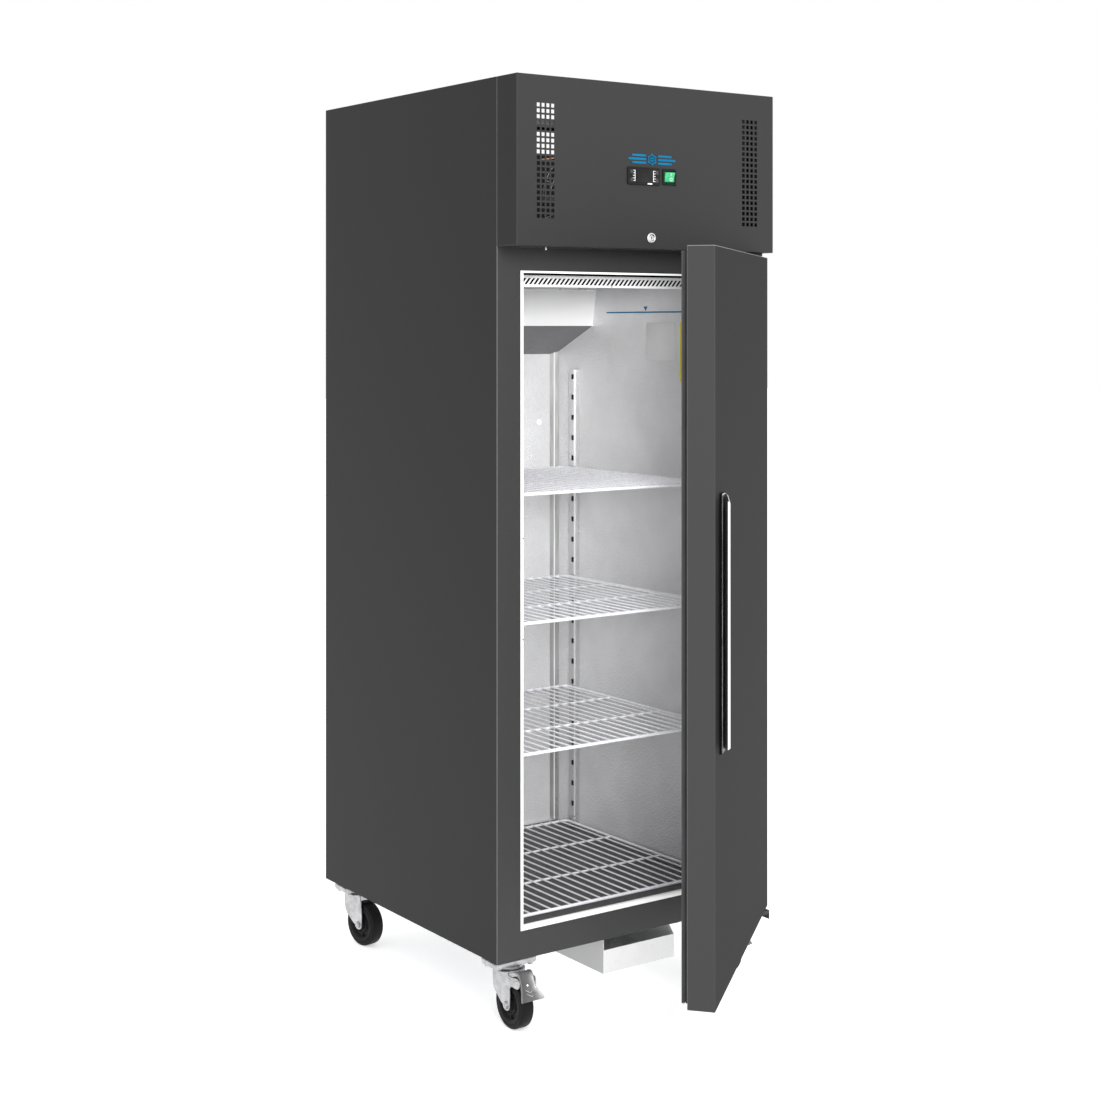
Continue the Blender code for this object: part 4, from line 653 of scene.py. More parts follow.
def controls():
    cx, cz = CONTROLLER
    front = HEADER_FRONT
    face = front - 0.0035
    builder = bmesh.new()
    add_pad(builder, cx - 0.0425, cx + 0.0425, cz - 0.0185, cz + 0.0185, front - GAP, face, 0.0035, 0.0012)
    add_blocks(builder, [(cx - 0.0370, cx + 0.0370, front - GAP, front + 0.045, cz - 0.0150, cz + 0.0150)])
    add_pad(builder, cx - 0.0215, cx + 0.0205, cz - 0.0125, cz + 0.0135, face, face - 0.0006, 0.002,
            0.0003, 1)
    piece("controller_case", builder, [BLACK_PLASTIC, GLOSS_BLACK], "cabinet",
          ["controller_bezel"])
    places = [(dx, dz) for dx in (-0.0330, 0.0330) for dz in (-0.0085, 0.0085)]
    for number, (dx, dz) in enumerate(places):
        x, z = cx + dx, cz + dz
        builder = bmesh.new()
        add_pad(builder, x - 0.0040, x + 0.0040, z - 0.0040, z + 0.0040, face + 0.0016, face - 0.0010,
                0.0015, 0.0006)
        way = 1 if number % 2 else -1
        tip = (x, z + way * 0.0022)
        arrow = [tip, (x + 0.0024, z - way * 0.0018), (x - 0.0024, z - way * 0.0018)]
        add_prism(builder, arrow, "Y", face - 0.0012, face - 0.0009)
        name = "controller_key_" + str(number + 1)
        piece(name + "_cap", builder, KEY_RUBBER, name, [name])
    builder = bmesh.new()
    for dx, way in ((-0.0240, -1), (0.0232, 1)):
        spine = sorted((cx + dx, cx + dx + way * 0.0014))
        add_blocks(builder, [(*spine, face - 0.0003, face + 0.0002, cz - 0.0108, cz + 0.0120)])
        for row in range(5):
            z = cz - 0.0108 + row * 0.0054
            reach = 0.0062 if row % 2 else 0.0046
            tick = sorted((cx + dx + way * 0.0016, cx + dx + way * (0.0016 + reach)))
            add_blocks(builder, [(*tick, face - 0.0003, face + 0.0002, z, z + 0.0012)])
    add_prism(builder, [(cx + 0.0085, cz - 0.0168), (cx + 0.0205, cz - 0.0168), (cx + 0.0205, cz - 0.0140),
                        (cx + 0.0085, cz - 0.0140)], "Y", face - 0.0003, face + 0.0002)
    piece("controller_marks", builder, INK_WHITE, "cabinet")

    sx, sz = SWITCH
    rim = front - 0.0030
    builder = bmesh.new()
    ring = [(0.0, front - GAP), (0.0, rim + 0.0010), (0.0010, rim), (0.0040, rim), (0.0050, rim + 0.0010),
            (0.0050, front + 0.014), (0.0034, front + 0.014), (0.0034, front - GAP)]
    add_frame(builder, ring, sx - 0.0180, sx + 0.0180, sz - 0.0170, sz + 0.0170)
    add_blocks(builder, [(sx - 0.0147, sx + 0.0147, front + 0.0145, front + 0.024, sz - 0.0142, sz + 0.0142)])
    for z in (sz - 0.006, sz + 0.006):
        add_blocks(builder, [(sx - 0.0004, sx + 0.0004, front + 0.022, front + 0.032, z - 0.003, z + 0.003)])
    piece("switch_bezel", builder, BLACK_PLASTIC, "cabinet", ["switch_frame"])
    builder = bmesh.new()
    wide, tall = 0.0122, 0.0107
    axis_y = front + 0.0040
    outline = [(axis_y + 0.005, sz + tall - 0.004), (axis_y, sz + tall), (rim - 0.0020, sz + tall - 0.0004)]
    for n in range(7):
        share = n / 6.0
        outline.append((rim - 0.0030 + 0.0042 * share + 0.0026 * math.sin(math.pi * share) * 0.6,
                        sz + (tall - 0.0012) * (1.0 - 2.0 * share)))
    outline += [(axis_y, sz - tall), (axis_y + 0.005, sz - tall + 0.004)]
    add_prism(builder, outline, "X", sx - wide, sx + wide)
    add_prism(builder, rounded(sx - 0.0008, sx + 0.0008, sz + 0.0025, sz + 0.0085, 0.0006), "Y",
              rim - 0.0044, rim - 0.0020, index=1)
    add_lathe(builder, [(0.0026, rim - 0.0044), (0.0038, rim - 0.0044), (0.0038, rim - 0.0020),
                        (0.0026, rim - 0.0020)], (sx, 0.0, sz - 0.0050), "Y", 20, 1)
    piece("switch_rocker_cap", builder, [GREEN_LENS, PALE_GREEN], "switch_rocker",
          ["switch_rocker"])

    lx, lz = LOCK
    builder = bmesh.new()
    add_lathe(builder, [(0.0068, front - 0.0026), (0.0080, front - 0.0032), (0.0098, front - 0.0031),
                        (0.0109, front - 0.0022), (0.0112, front - 0.0010), (0.0112, front - GAP),
                        (0.0090, front - GAP), (0.0090, front + 0.020), (0.0068, front + 0.020)],
              (lx, 0.0, lz), "Y", 32)
    add_lathe(builder, [(0.0092, front + 0.006), (0.0140, front + 0.006), (0.0140, front + 0.009),
                        (0.0092, front + 0.009)], (lx, 0.0, lz), "Y", 6)
    piece("lock_rosette", builder, CHROME, "cabinet", ["lock_housing"])
    builder = bmesh.new()
    add_lathe(builder, [(0.0, front - 0.0022), (0.0054, front - 0.0022), (0.0062, front - 0.0014),
                        (0.0062, front + 0.024), (0.0, front + 0.024)], (lx, 0.0, lz), "Y", 28)
    add_prism(builder, rounded(lx - 0.006, lx + 0.034, lz - 0.006, lz + 0.006, 0.0055), "Y", front + 0.0210,
              front + 0.0234)
    add_prism(builder, rounded(lx - 0.0007, lx + 0.0007, lz - 0.0034, lz + 0.0034, 0.0006), "Y",
              front - 0.0024, front - 0.0019, index=1)
    add_disc(builder, 0.0016, front - 0.0024, front - 0.0019, (lx, 0.0, lz), "Y", 16, 1)
    piece("lock_plug", builder, [CHROME, BLACK_PLASTIC], "lock_barrel", ["lock_barrel"])


# ---- door ----------------------------------------------------------------------------------
def door():
    radius, thin = 0.0020, 0.0010
    builder = bmesh.new()
    pin, deep = 0.0052, 0.012
    voids = [(DOOR_LEFT + thin, DOOR_RIGHT - thin, DOOR_FRONT + thin, DOOR_BACK, DOOR_BOTTOM + thin,
              DOOR_TOP - thin)]
    for low, high in ((DOOR_TOP - deep, DOOR_TOP), (DOOR_BOTTOM, DOOR_BOTTOM + deep)):
        voids.append((HINGE.x - pin, HINGE.x + pin, HINGE.y - pin, HINGE.y + pin, low, high))
    lines = (bend_lines(DOOR_LEFT, DOOR_RIGHT, radius) + bend_lines(DOOR_LEFT, DOOR_RIGHT, 0.0009),
             bend_lines(DOOR_FRONT, DOOR_BACK, radius) + bend_lines(DOOR_FRONT, DOOR_BACK, 0.0009),
             bend_lines(DOOR_BOTTOM, DOOR_TOP, radius) + bend_lines(DOOR_BOTTOM, DOOR_TOP, 0.0009))
    add_blocks(builder, [(DOOR_LEFT, DOOR_RIGHT, DOOR_FRONT, DOOR_BACK, DOOR_BOTTOM, DOOR_TOP)], voids, lines)
    soften(builder, (DOOR_LEFT, DOOR_FRONT, DOOR_BOTTOM), (DOOR_RIGHT, None, DOOR_TOP), radius)
    soften(builder, (DOOR_LEFT, None, DOOR_BOTTOM), (DOOR_RIGHT, DOOR_BACK, DOOR_TOP), 0.0009)
    # Front faces take the darker door coat as painted shade; the other faces take the lighter door coat as
    # painted light.
    for face in builder.faces:
        if face.calc_center_median().y < DOOR_FRONT + 0.0001:
            face.material_index = 2
    # The top edge and the back-left bend take the light coat as a painted highlight.
    piece("door_shell", builder, [PAINT_LIT_DOOR_EDGES, PAINT_BEND_HIGHLIGHT, PAINT_SHADED_DOOR_FACE], "door",
          ["door_outer_skin"], swing=DOOR_SWING, flat_faces=True,
          highlight_bends=lambda spot: spot.z > DOOR_TOP - 0.003 or (spot.x < DOOR_LEFT + 0.002
                                                           and spot.y > DOOR_BACK - 0.002))

    inset = thin + GAP
    builder = bmesh.new()
    add_blocks(builder, [(DOOR_LEFT + inset, DOOR_RIGHT - inset, DOOR_BACK - 0.0010, DOOR_BACK,
                          DOOR_BOTTOM + inset, DOOR_TOP - inset)])
    loops = []
    for step, rise in ((0.0, 0.0), (0.001, 0.0035), (0.003, 0.0062), (0.006, 0.0078), (0.010, 0.0085),
                       (0.034, 0.0085), (0.037, 0.0078), (0.040, 0.0060), (0.043, 0.0053)):
        outline = rounded(0.070 + step, 0.610 - step, 0.075 + step, 1.375 - step, max(0.050 - step, 0.012), 6)
        loops.append([(x, DOOR_BACK - 0.0002 + rise, z) for x, z in outline])
    add_loft(builder, loops)
    piece("door_inner_panel", builder, DOOR_LINER, "door", ["door_inner_liner"],
          swing=DOOR_SWING, flat_faces=True)

    back, lip = DOOR_BACK + GAP, -0.0006
    rise = lip - back
    side = [(0.0026, 0.0), (0.0012, 0.10), (0.0, 0.20), (0.0012, 0.30), (0.0026, 0.38), (0.0012, 0.46),
            (0.0, 0.55), (0.0, 0.66), (0.0016, 0.72), (0.0003, 0.80), (0.0, 0.92), (0.0006, 1.0)]
    profile = [(u, back + v * rise) for u, v in side]
    profile += [(0.0200 - u, back + v * rise) for u, v in reversed(side)]
    builder = bmesh.new()
    add_frame(builder, profile, DOOR_LEFT + 0.006, HINGE.x, DOOR_BOTTOM + 0.010, DOOR_TOP - 0.010)
    piece("door_seal", builder, GASKET, "door", ["door_gasket"], swing=DOOR_SWING)
    handle()


def handle():
    low, high, left, right = 0.4795, 0.9735, 0.054, 0.094
    face = DOOR_FRONT - GAP
    base = face - 0.0035
    builder = bmesh.new()
    add_pad(builder, left, right, low, high, face, base, 0.0010, 0.0008)
    piece("handle_backing", builder, MATT_BLACK, "door", ["handle_base"], swing=DOOR_SWING)
    inner, outer, sheet, lip = base - GAP, face - 0.0225, 0.0014, 0.0045
    far_left, far_right = left - 0.014, right - 0.004
    drop = 0.0125
    outline = [(left + 0.003, inner), (far_right - 0.0012, inner), (far_right, inner - 0.0012),
               (far_right, outer + drop + 0.0012), (far_right - 0.0012, outer + drop),
               (far_left + 0.0008, outer), (far_left, outer + 0.0008), (far_left, outer + lip),
               (far_left + sheet, outer + lip), (far_left + sheet, outer + 0.0020),
               (far_right - sheet, outer + drop + 0.0016), (far_right - sheet, inner - sheet),
               (left + 0.003, inner - sheet)]

    def taper(point):
        rise = (inner - point[1]) * 0.80
        return (rise, -rise)

    builder = bmesh.new()
    faces = add_prism(builder, outline, "Z", low + 0.001, high - 0.001, taper)
    # The lip, the flange edge and the cut ends take bright steel: a painted highlight along the edges of the
    # dark channel.
    bright_from = far_left + 0.0009
    for number, item in enumerate(faces):
        middle = item.calc_center_median()
        is_end = number < 2
        is_lip = middle.x < bright_from + 0.002 and middle.y < outer + lip + 0.001
        is_flange_edge = middle.x < left + 0.0032 and middle.y > inner - 0.003
        item.material_index = 1 if is_end or is_lip or is_flange_edge else 0
    piece("handle_channel", builder, [HANDLE_DARK, BRIGHT_STEEL], "door", ["handle_grip"],
          swing=DOOR_SWING)


# ---- inside --------------------------------------------------------------------------------
def interior():
    left, right, bottom, top = OPENING
    builder = bmesh.new()
    profile = [(0.0, -0.0002), (0.0006, -0.0008), (0.0058, -0.0008), (0.0072, -0.0004), (0.0082, 0.0004),
               (0.0085, 0.0014), (0.0085, 0.0061), (0.0, 0.0061)]
    add_frame(builder, profile, left + GAP, right - GAP, bottom + GAP, top - GAP, shares=(0.85, 1.25, 0.50))
    piece("opening_bezel", builder, WHITE_TRIM, "cabinet", ["opening_trim"], inside=True)

    slot_wide, slot_tall, slot_pitch, first = 0.0106, 0.0124, 0.050, 1.1670
    for side, wall, sign in (("left", INSIDE_LEFT + GAP, 1), ("right", INSIDE_RIGHT - GAP, -1)):
        for place, middle in PILASTER_MIDDLES:
            a, b = middle - 0.015, middle + 0.015
            deep, thick = 0.0100, 0.0012
            web = sorted((wall + sign * (deep - thick), wall + sign * deep))
            leg = sorted((wall, wall + sign * deep))
            solids = [(*web, a, b, 0.0645, 1.185), (*leg, a, a + thick, 0.0645, 1.185),
                      (*leg, b - thick, b, 0.0645, 1.185)]
            voids = []
            for n in range(22):
                z = first - n * slot_pitch
                voids.append((*web, middle - slot_wide / 2, middle + slot_wide / 2, z - slot_tall / 2,
                              z + slot_tall / 2))
            builder = bmesh.new()
            add_blocks(builder, solids, voids, ((), bend_lines(a, b, 0.0010), ()))
            face = wall + sign * deep
            soften(builder, (face if sign < 0 else None, a, None), (face if sign > 0 else None, b, None),
                   0.0010)
            shade = sorted((wall + sign * 0.0020, wall + sign * 0.0026))
            add_blocks(builder, [(*shade, a + 0.0030, b - 0.0030, 0.0650, 1.184)])
            ridge = sorted((face, face + sign * 0.0012))
            add_blocks(builder, [(*ridge, a + 0.0012, a + 0.0062, 0.0645, 1.185)])
            for item in builder.faces:
                spot = item.calc_center_median()
                on_shade = shade[0] - TOUCH < spot.x < shade[1] + TOUCH
                on_ridge = ridge[0] - TOUCH < spot.x < ridge[1] + TOUCH
                if on_shade and a + 0.002 < spot.y < b - 0.002:
                    item.material_index = 1
                if on_ridge and spot.y < a + 0.0063 and abs(item.normal.y) < 0.5:
                    item.material_index = 2
            name = "pilaster_" + side + "_" + place
            piece(name + "_rail", builder, [RAIL_STEEL, MATT_BLACK, BRIGHT_STEEL], "cabinet",
                  [name], flat_faces=True, inside=True)

    builder = bmesh.new()
    for top_z in SHELF_TOPS:
        for wall, sign in ((INSIDE_LEFT + GAP, 1), (INSIDE_RIGHT - GAP, -1)):
            for _, middle in PILASTER_MIDDLES:
                x0 = wall + sign * 0.0104
                x1 = x0 + sign * 0.0016
                tongue = sorted((x0, x1))
                z = top_z - 0.0100
                ledge = sorted((x0, x0 + sign * 0.0080))
                add_blocks(builder, [(*tongue, middle - 0.006, middle + 0.006, z - 0.016, z + 0.001),
                                     (*ledge, middle - 0.006, middle + 0.006, z - 0.0012, z)])
    piece("shelf_clips", builder, ZINC, "cabinet", inside=True)
    builder = bmesh.new()
    for wall, sign in ((INSIDE_LEFT + GAP, 1), (INSIDE_RIGHT - GAP, -1)):
        back, wide, thick = INSIDE_BACK - GAP, 0.0160, 0.0009
        strip = [(wall, back - wide), (wall + sign * wide, back), (wall + sign * (wide - thick), back),
                 (wall, back - wide + thick)]
        add_prism(builder, strip, "Z", 0.0620, 1.2800)
        middle = (wall + sign * wide * 0.5, back - wide * 0.5)
        add_tube(builder, [(middle[0] + sign * 0.0004, middle[1] - 0.0004, z) for z in (0.0622, 1.2798)],
                 0.0016, 8, 1)
    piece("corner_strips", builder, [RAIL_STEEL, WHITE_TRIM], "cabinet", inside=True)
    # A dark sheet laid on the floor as painted shade under the bottom shelf.
    builder = bmesh.new()
    add_blocks(builder, [(INSIDE_LEFT + 0.002, INSIDE_RIGHT - 0.002, 0.014, INSIDE_BACK - 0.018,
                          INSIDE_FLOOR + GAP, INSIDE_FLOOR + 0.0011)])
    piece("compartment_floor_painted_shade", builder, FLOOR_SHADE_SHEET, "cabinet", inside=True)
    # Black strips behind the air grille and inside the opening top: painted shade.
    builder = bmesh.new()
    add_blocks(builder, [(INSIDE_LEFT + 0.001, INSIDE_RIGHT - 0.001, 0.0696, 0.0702, 1.3740, 1.3952),
                         (left + 0.009, right - 0.009, 0.0050, 0.0060, top - 0.0088, top - 0.0044)])
    piece("grille_painted_shade", builder, MATT_BLACK, "cabinet")
    evaporator()
    details()


def evaporator():
    left, right = INSIDE_LEFT + GAP, INSIDE_RIGHT - GAP
    back, top = INSIDE_BACK - GAP, INSIDE_CEILING - GAP
    sheet = 0.0010
    outline = [(0.4915, top), (0.5090, 1.2945), (0.5094, 1.2930), (0.5103, 1.2921),
               (back, EVAPORATOR_REAR_EDGE), (back, 1.2232), (0.5110, 1.2932), (0.5102, 1.2946),
               (0.4915 + sheet, top - sheet),
               (0.505, top - sheet), (0.505, top)]
    builder = bmesh.new()
    add_prism(builder, outline, "X", left, right)
    for edge, sign in ((left, 1), (right, -1)):
        lip = sorted((edge, edge + sign * 0.0012))
        add_blocks(builder, [(lip[0], lip[1], 0.5080, 0.5130, 1.300, top - 0.002)])
    add_prism(builder, [(0.5089, 1.2921), (0.5065, 1.2921), (0.5065, 1.2950), (0.5085, 1.2950)], "X", left,
              right)
    # Underside faces take the dark copy of the sheet: painted shade under the housing.
    builder.normal_update()
    for face in builder.faces:
        spot = face.calc_center_median()
        if abs(face.normal.z) > 0.6 and spot.y > 0.512 and spot.z < 1.290:
            face.material_index = 1
    piece("evaporator_cover", builder, [SHEET_STEEL, SHEET_SHADED], "cabinet",
          ["evaporator_housing"], inside=True)

    builder = bmesh.new()
    fold_y, fold_z = EVAPORATOR_FOLD
    slope = (EVAPORATOR_REAR_EDGE - fold_z) / (back - fold_y)
    screw_y = 0.640
    for x in (0.160, 0.340, 0.520):
        add_screw(builder, (x, screw_y, fold_z + slope * (screw_y - fold_y)), "Z", 0.0042)
    for x in (0.100, 0.340, 0.580):
        add_screw(builder, (x, 0.0678, 1.3765), "Y", 0.0022)
    piece("inside_screws", builder, ZINC, "cabinet", inside=True)

    builder = bmesh.new()
    rod = bent_path([(INSIDE_LEFT + 0.002, *PROBE[1:]), PROBE, (0.598, 0.470, 1.3785)], 0.010)
    add_tube(builder, rod, 0.0017, 8)
    add_lathe(builder, [(0.0, -0.016), (0.0028, -0.014), (0.0030, 0.014), (0.0, 0.016)], PROBE, "X", 12)
    piece("air_probe", builder, BRIGHT_STEEL, "cabinet", inside=True)
    builder = bmesh.new()
    for x in (0.140, 0.320, 0.500):
        add_blocks(builder, [(x - 0.004, x + 0.004, 0.4755, 0.4870, 1.3765, 1.3815)])
    piece("air_probe_clips", builder, WHITE_TRIM, "cabinet", bevel=0.0006, inside=True)


def details():
    """Load line, plates, wall plug and trim fasteners inside the cabinet."""
    wall = INSIDE_RIGHT - 0.0004
    builder = bmesh.new()
    add_prism(builder, [(0.150, 1.3225), (0.452, 1.3225), (0.452, 1.3255), (0.150, 1.3255)], "X",
              wall - 0.0004, wall)
    add_prism(builder, [(0.300, 1.3270), (0.3075, 1.3375), (0.2925, 1.3375)], "X", wall - 0.0004, wall)
    piece("load_line", builder, INK_BLUE, "cabinet", inside=True)
    builder = bmesh.new()
    loops = []
    for inset, x in ((0.0, wall), (0.0, wall - 0.0006), (0.0005, wall - 0.0009)):
        loops.append([(x, y, z) for y, z in rounded(0.190 + inset, 0.296 - inset, 1.212 + inset,
                                                    1.300 - inset, 0.003)])
    add_loft(builder, loops)
    piece("blank_plate", builder, LABEL_GREY, "cabinet", inside=True)
    builder = bmesh.new()
    add_prism(builder, rounded(0.100, 0.172, 1.165, 1.300, 0.002), "X", wall - 0.0005, wall)
    piece("blank_yellow_film", builder, LABEL_YELLOW, "cabinet", inside=True)
    builder = bmesh.new()
    add_lathe(builder, [(0.0, INSIDE_BACK - 0.0030), (0.0060, INSIDE_BACK - 0.0028),
                        (0.0082, INSIDE_BACK - 0.0016), (0.0088, INSIDE_BACK - 0.0003),
                        (0.0, INSIDE_BACK - 0.0003)], (0.566, 0.0, 1.052), "Y", 20)
    piece("wall_plug", builder, WHITE_TRIM, "cabinet", inside=True)
    builder = bmesh.new()
    for z in (0.652, 0.858):
        add_lathe(builder, [(0.0, -0.0012), (0.0012, -0.0012), (0.0016, -0.0008), (0.0, -0.0008)],
                  (0.0625, 0.0, z), "Y", 12)
    piece("trim_pins", builder, BLACK_PLASTIC, "cabinet")


def shelves():
    left, right, front, back = 0.078, 0.602, 0.035, 0.600
    wires = 19
    for number, top in enumerate(SHELF_TOPS):
        builder = bmesh.new()
        z = top - 0.0048
        frame_r = 0.0030
        add_tube(builder, bent_path([(left + 0.003, front + 0.004, z), (left + 0.003, back - frame_r, z),
                                     (right - 0.003, back - frame_r, z),
                                     (right - 0.003, front + 0.004, z)], 0.014), frame_r, 10)
        add_tube(builder, [(left + 0.0005, front + 0.0036, z), (right - 0.0005, front + 0.0036, z)],
                 0.0036, 12)
        for share in (0.34, 0.68):
            y = front + share * (back - front)
            add_tube(builder, [(left + 0.003, y, z - 0.0012), (right - 0.003, y, z - 0.0012)], 0.0024, 8)
        pitch = (right - left - 0.006) / (wires + 1)
        for n in range(1, wires + 1):
            x = left + 0.003 + n * pitch
            high = top - 0.0019
            add_tube(builder, bent_path([(x, back - 0.002, high), (x, front + 0.0022, high),
                                         (x, front + 0.0006, z - 0.001)], 0.003, 3), 0.0019, 8)
        name = "shelf_" + str(number + 1)
        piece(name + "_grid", builder, WIRE_COAT, name, [name], inside=True)


# ---- refrigeration unit --------------------------------------------------------------------
def machinery():
    base = DECK + GAP
    cx, cy = 0.180, 0.440
    builder = bmesh.new()
    shell = [(0.0, 0.012), (0.052, 0.012), (0.072, 0.018), (0.086, 0.034), (0.091, 0.056), (0.092, 0.074),
             (0.0955, 0.0765), (0.0962, 0.080), (0.0955, 0.0840), (0.091, 0.0865), (0.0905, 0.108),
             (0.087, 0.132), (0.078, 0.152), (0.062, 0.166), (0.040, 0.174), (0.018, 0.1775), (0.0, 0.178)]
    add_lathe(builder, [(r, base + h) for r, h in shell], (cx, cy, 0.0), "Z", 48)
    foot = rounded(cx - 0.105, cx + 0.105, cy - 0.070, cy + 0.070, 0.018)
    add_loft(builder, [[(x, y, base + 0.009) for x, y in foot], [(x, y, base + 0.013) for x, y in foot]])
    add_blocks(builder, [(cx + 0.070, cx + 0.104, cy - 0.030, cy + 0.030, base + 0.066, base + 0.126)])
    piece("compressor_shell", builder, COMPRESSOR_BLACK, "cabinet", ["compressor"])
    builder = bmesh.new()
    for sx, sy in QUARTERS:
        spot = (cx + sx * 0.090, cy + sy * 0.056, base)
        add_lathe(builder, [(0.0, 0.0), (0.009, 0.0), (0.0075, 0.004), (0.009, 0.0088), (0.0, 0.0088)],
                  spot, "Z", 18)
        add_disc(builder, 0.007, 0.0132, 0.0185, spot, "Z", 6, 1)
    piece("compressor_mounts", builder, [BLACK_PLASTIC, ZINC], "cabinet")

    mid, low_y, high_y, tall = 0.455, 0.120, 0.215, 0.245
    builder = bmesh.new()
    fins = 84
    for n in range(fins):
        x = mid - 0.116 + 0.232 * n / (fins - 1)
        add_blocks(builder, [(x - 0.00018, x + 0.00018, low_y + 0.002, high_y - 0.002, base + 0.003,
                              base + tall - 0.003)])
    for x in (mid - 0.125, mid + 0.1235):
        add_blocks(builder, [(x, x + 0.0015, low_y, high_y, base, base + tall)])
    piece("condenser_fins", builder, FINS, "cabinet", ["condenser_coil"], smooth=False)
    builder = bmesh.new()
    rows, half_run, tube_r = 9, 0.126, 0.0046
    for column, y in enumerate((low_y + 0.022, high_y - 0.026)):
        heights = [base + 0.020 + 0.0255 * n for n in range(rows)]
        for z in heights:
            add_tube(builder, [(mid - half_run, y, z), (mid + half_run, y, z)], tube_r, 8)
        for n, (z0, z1) in enumerate(zip(heights, heights[1:])):
            side = 1 if (n + column) % 2 else -1
            x = mid + side * half_run
            far = x + side * 0.012
            bow = bent_path([(x, y, z0), (far, y, z0), (far, y, z1), (x, y, z1)], 0.012)
            add_tube(builder, bow, tube_r, 8)
    piece("condenser_tubes", builder, COPPER, "cabinet")
    fan(mid)
    pipes(base)


def fan(mid):
    fan_y, fan_z = FAN_HUB
    paint_node(FAN_METAL, "condenser_fan_shroud")
    builder = bmesh.new()
    add_lathe(builder, [(0.108, fan_y - 0.0605), (0.1105, fan_y - 0.0602), (0.1105, fan_y - 0.030),
                        (0.1095, fan_y - 0.030), (0.1078, fan_y - 0.0590)], (mid, 0.0, fan_z), "Y", 48)

    def on_guard(radius, degrees):
        turn = math.radians(degrees)
        return (mid + radius * math.cos(turn), fan_y + 0.0400, fan_z + radius * math.sin(turn))

    for radius in (0.040, 0.066, 0.092, 0.112):
        add_tube(builder, [on_guard(radius, 12 * n) for n in range(31)], 0.0011, 6)
    for n in range(8):
        add_tube(builder, [on_guard(radius, 45 * n + 22.5) for radius in (0.036, 0.113)], 0.0011, 6)
    piece("fan_guard", builder, ZINC, "cabinet")
    builder = bmesh.new()
    add_lathe(builder, [(0.0, -0.014), (0.020, -0.014), (0.026, -0.008), (0.026, 0.018), (0.0, 0.0185)],
              (mid, fan_y, fan_z), "Y", 28)
    add_fan_blades(builder, (mid, fan_y, fan_z), 0.022, 0.098, 5, 0.058, math.radians(28.0), 0.0014)
    piece("condenser_fan_rotor", builder, FAN_METAL, "condenser_fan",
          ["condenser_fan_blade"])
    builder = bmesh.new()
    add_lathe(builder, [(0.0, -0.012), (0.010, -0.012), (0.014, -0.008), (0.014, 0.029), (0.0, 0.030)],
              EVAPORATOR_FAN_HUB, "Y", 20)
    add_fan_blades(builder, EVAPORATOR_FAN_HUB, 0.012, 0.044, 5, 0.026, math.radians(30.0), 0.0012)
    piece("evaporator_fan_rotor", builder, BLACK_PLASTIC, "evaporator_fan",
          ["evaporator_fan_blade"])


def add_fan_blades(builder, centre, root, tip, count, chord, pitch, thick):
    """Cambered and pitched blades round the Y axis."""
    for blade in range(count):
        start = 2.0 * math.pi * blade / count
        loops = []
        for i in range(6):
            share = i / 5.0
            radius = root + (tip - root) * share
            width = chord * (0.55 + 0.55 * math.sin(math.pi * min(1.0, 0.25 + 0.62 * share)))
            upper, lower = [], []
            for k in range(7):
                t = k / 6.0 - 0.5
                arc = t * width / max(radius, 0.02)
                along = math.sin(pitch) * t * width + 0.10 * width * (0.25 - t * t)
                turn = start + arc * math.cos(pitch) + 0.35 * share
                for edge, group in ((thick / 2, upper), (-thick / 2, lower)):
                    group.append((centre[0] + radius * math.cos(turn), centre[1] + along + edge,
                                  centre[2] + radius * math.sin(turn)))
            loops.append(upper + list(reversed(lower)))
        add_loft(builder, loops)


